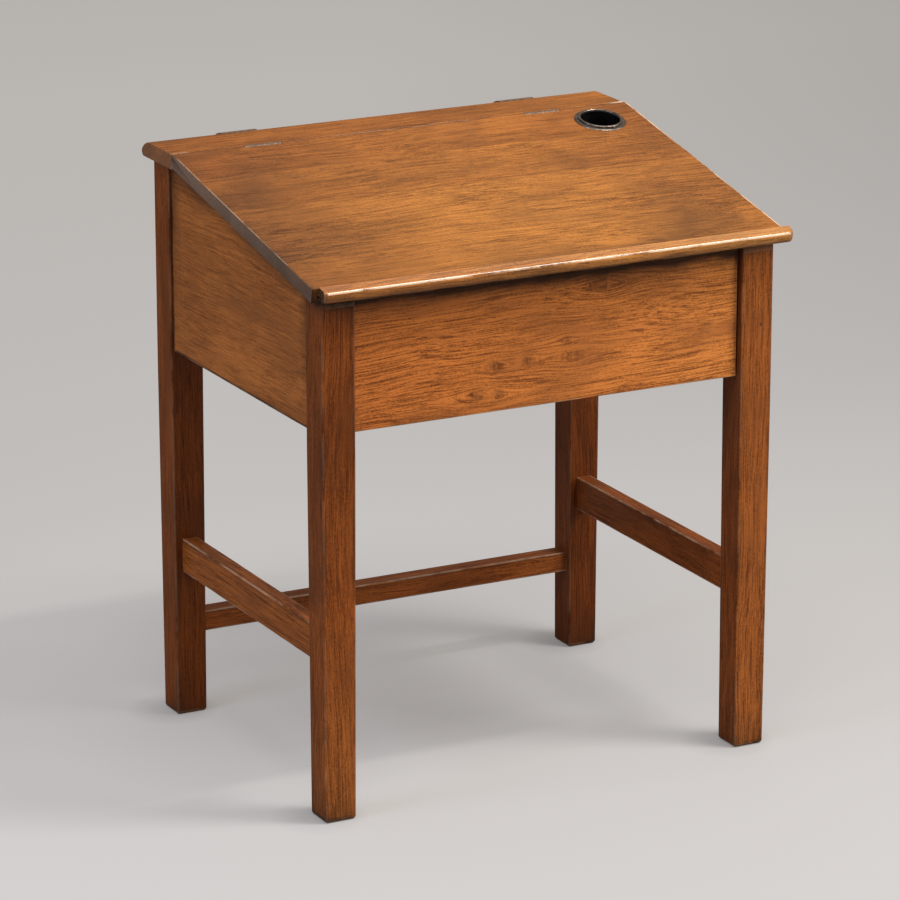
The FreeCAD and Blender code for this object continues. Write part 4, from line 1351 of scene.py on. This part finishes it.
# %% Floor
floor_reach = 40.0
floor_mesh = bpy.data.meshes.new("floor")
floor_corners = [(x * floor_reach, y * floor_reach, 0) for x, y in ((-1, -1), (1, -1), (1, 1), (-1, 1))]
floor_mesh.from_pydata(floor_corners, [], [(0, 1, 2, 3)])
floor = bpy.data.objects.new("floor", floor_mesh)
bpy.context.scene.collection.objects.link(floor)
floor_paint = bpy.data.materials.new("Pale floor")
floor_paint.use_nodes = True
tree = floor_paint.node_tree
paint = tree.nodes["Principled BSDF"]
paint.inputs["Roughness"].default_value = 0.9
paint.inputs["Specular IOR Level"].default_value = 0.0
path = add(tree, "ShaderNodeLightPath")
bounced = mixed(tree, path.outputs["Is Glossy Ray"], (0.30, 0.285, 0.27, 1), (0.12, 0.114, 0.108, 1))
tree.links.new(mixed(tree, path.outputs["Is Camera Ray"], bounced, (0.310, 0.296, 0.284, 1)),
               paint.inputs["Base Color"])
tree.links.new(mixed(tree, path.outputs["Is Camera Ray"], (0, 0, 0, 1), (0.270, 0.2535, 0.2365, 1)),
               paint.inputs["Emission Color"])
place = add(tree, "ShaderNodeSeparateXYZ", {0: add(tree, "ShaderNodeTexCoord").outputs["Object"]})
nearness = span(tree, place.outputs["Y"], -0.8, 1.0, 1.115, 0.85)
far_off = span(tree, place.outputs["Y"], 1.2, 3.4, 0.0, 0.27)
aside = sums(tree, "MULTIPLY_ADD", place.outputs["Y"], -0.62, place.outputs["X"])
to_right = span(tree, aside, -0.6, 0.9, 0.01, -0.235)
shine = sums(tree, "ADD", sums(tree, "ADD", nearness, to_right), far_off)
shadow_shift = Vector((-16 * mm, 6 * mm, 0))
# Painted contact shadows: the glow is held back round each foot.
for name in leg_shaded_tones:
    foot = (box[name][0] + box[name][1]) / 2 + shadow_shift
    away = add(tree, "ShaderNodeVectorMath", {0: add(tree, "ShaderNodeTexCoord").outputs["Object"],
                                              1: (foot.x, foot.y, 0)}, operation="DISTANCE").outputs["Value"]
    shine = sums(tree, "SUBTRACT", shine, span(tree, away, 20 * mm, 60 * mm, 0.30, 0.0))
tree.links.new(shine, paint.inputs["Emission Strength"])
floor_mesh.materials.append(floor_paint)
print("floor", floor_reach * 2, "m across")

# %% Light
world = bpy.data.worlds.new("Studio")
bpy.context.scene.world = world
world.use_nodes = True
tree = world.node_tree
background = tree.nodes["Background"]
path = add(tree, "ShaderNodeLightPath")
seen = sums(tree, "MAXIMUM", path.outputs["Is Camera Ray"], path.outputs["Is Transmission Ray"])
around = mixed(tree, path.outputs["Is Glossy Ray"], (0.40, 0.40, 0.405, 1), (0.10, 0.10, 0.10, 1))
tree.links.new(mixed(tree, seen, around, (0.47, 0.445, 0.425, 1)), background.inputs["Color"])
background.inputs["Strength"].default_value = 1.0


def lamp(name, place, aim, power, width, height, colour=(1.0, 1.0, 1.0)):
    """A soft rectangular lamp."""
    data = bpy.data.lights.new(name, "AREA")
    data.shape = "RECTANGLE"
    data.energy, data.size, data.size_y = power, width, height
    data.color = colour
    thing = bpy.data.objects.new(name, data)
    thing.location = place
    thing.rotation_euler = (Vector(aim) - Vector(place)).to_track_quat("-Z", "Y").to_euler()
    bpy.context.scene.collection.objects.link(thing)
    return thing


lamp("overhead", (0.2, -1.1, 3.2), (0.2, 0.0, 0.5), 51.0, 2.8, 1.0)
lamp("overhead_strip", (1.36, -1.15, 3.2), (1.36, 0.0, 0.5), 40.0, 1.26, 0.14)
lamp("right", (2.6, -1.9, 1.8), (0.0, 0.0, 0.45), 52.0, 1.2, 1.2)
lamp("behind", (1.5, 2.8, 3.3), (0.0, 0.0, 0.65), 5.0, 2.6, 2.6)
lamp("left", (-3.0, -0.4, 2.0), (0.0, 0.0, 0.45), 33.0, 1.4, 1.4, (0.80, 0.95, 1.35))
print("lamps", {light.name: light.energy for light in bpy.data.lights})

# %% [markdown]
# ## Camera
#
# A long lens from the front left, above the lid. A wide lens near by would show the near leg much too
# big. A long one stands far off, so the desk's far side looks hardly smaller than its near side. Its
# place and turn were found by matching the desk's corners.

# %% Camera
camera_data = bpy.data.cameras.new("camera")
camera = bpy.data.objects.new("camera", camera_data)
bpy.context.scene.collection.objects.link(camera)
camera.location = (-2.59622, -4.96086, 2.05623)
camera.rotation_euler = (math.radians(90 - 16.88), 0.0, math.radians(-27.4415))
camera_data.sensor_width = 36.0
camera_data.lens = 191.437
camera_data.clip_end = 200.0
bpy.context.scene.camera = camera
bpy.context.scene.view_settings.view_transform = "Standard"
print("lens", camera_data.lens, "mm")
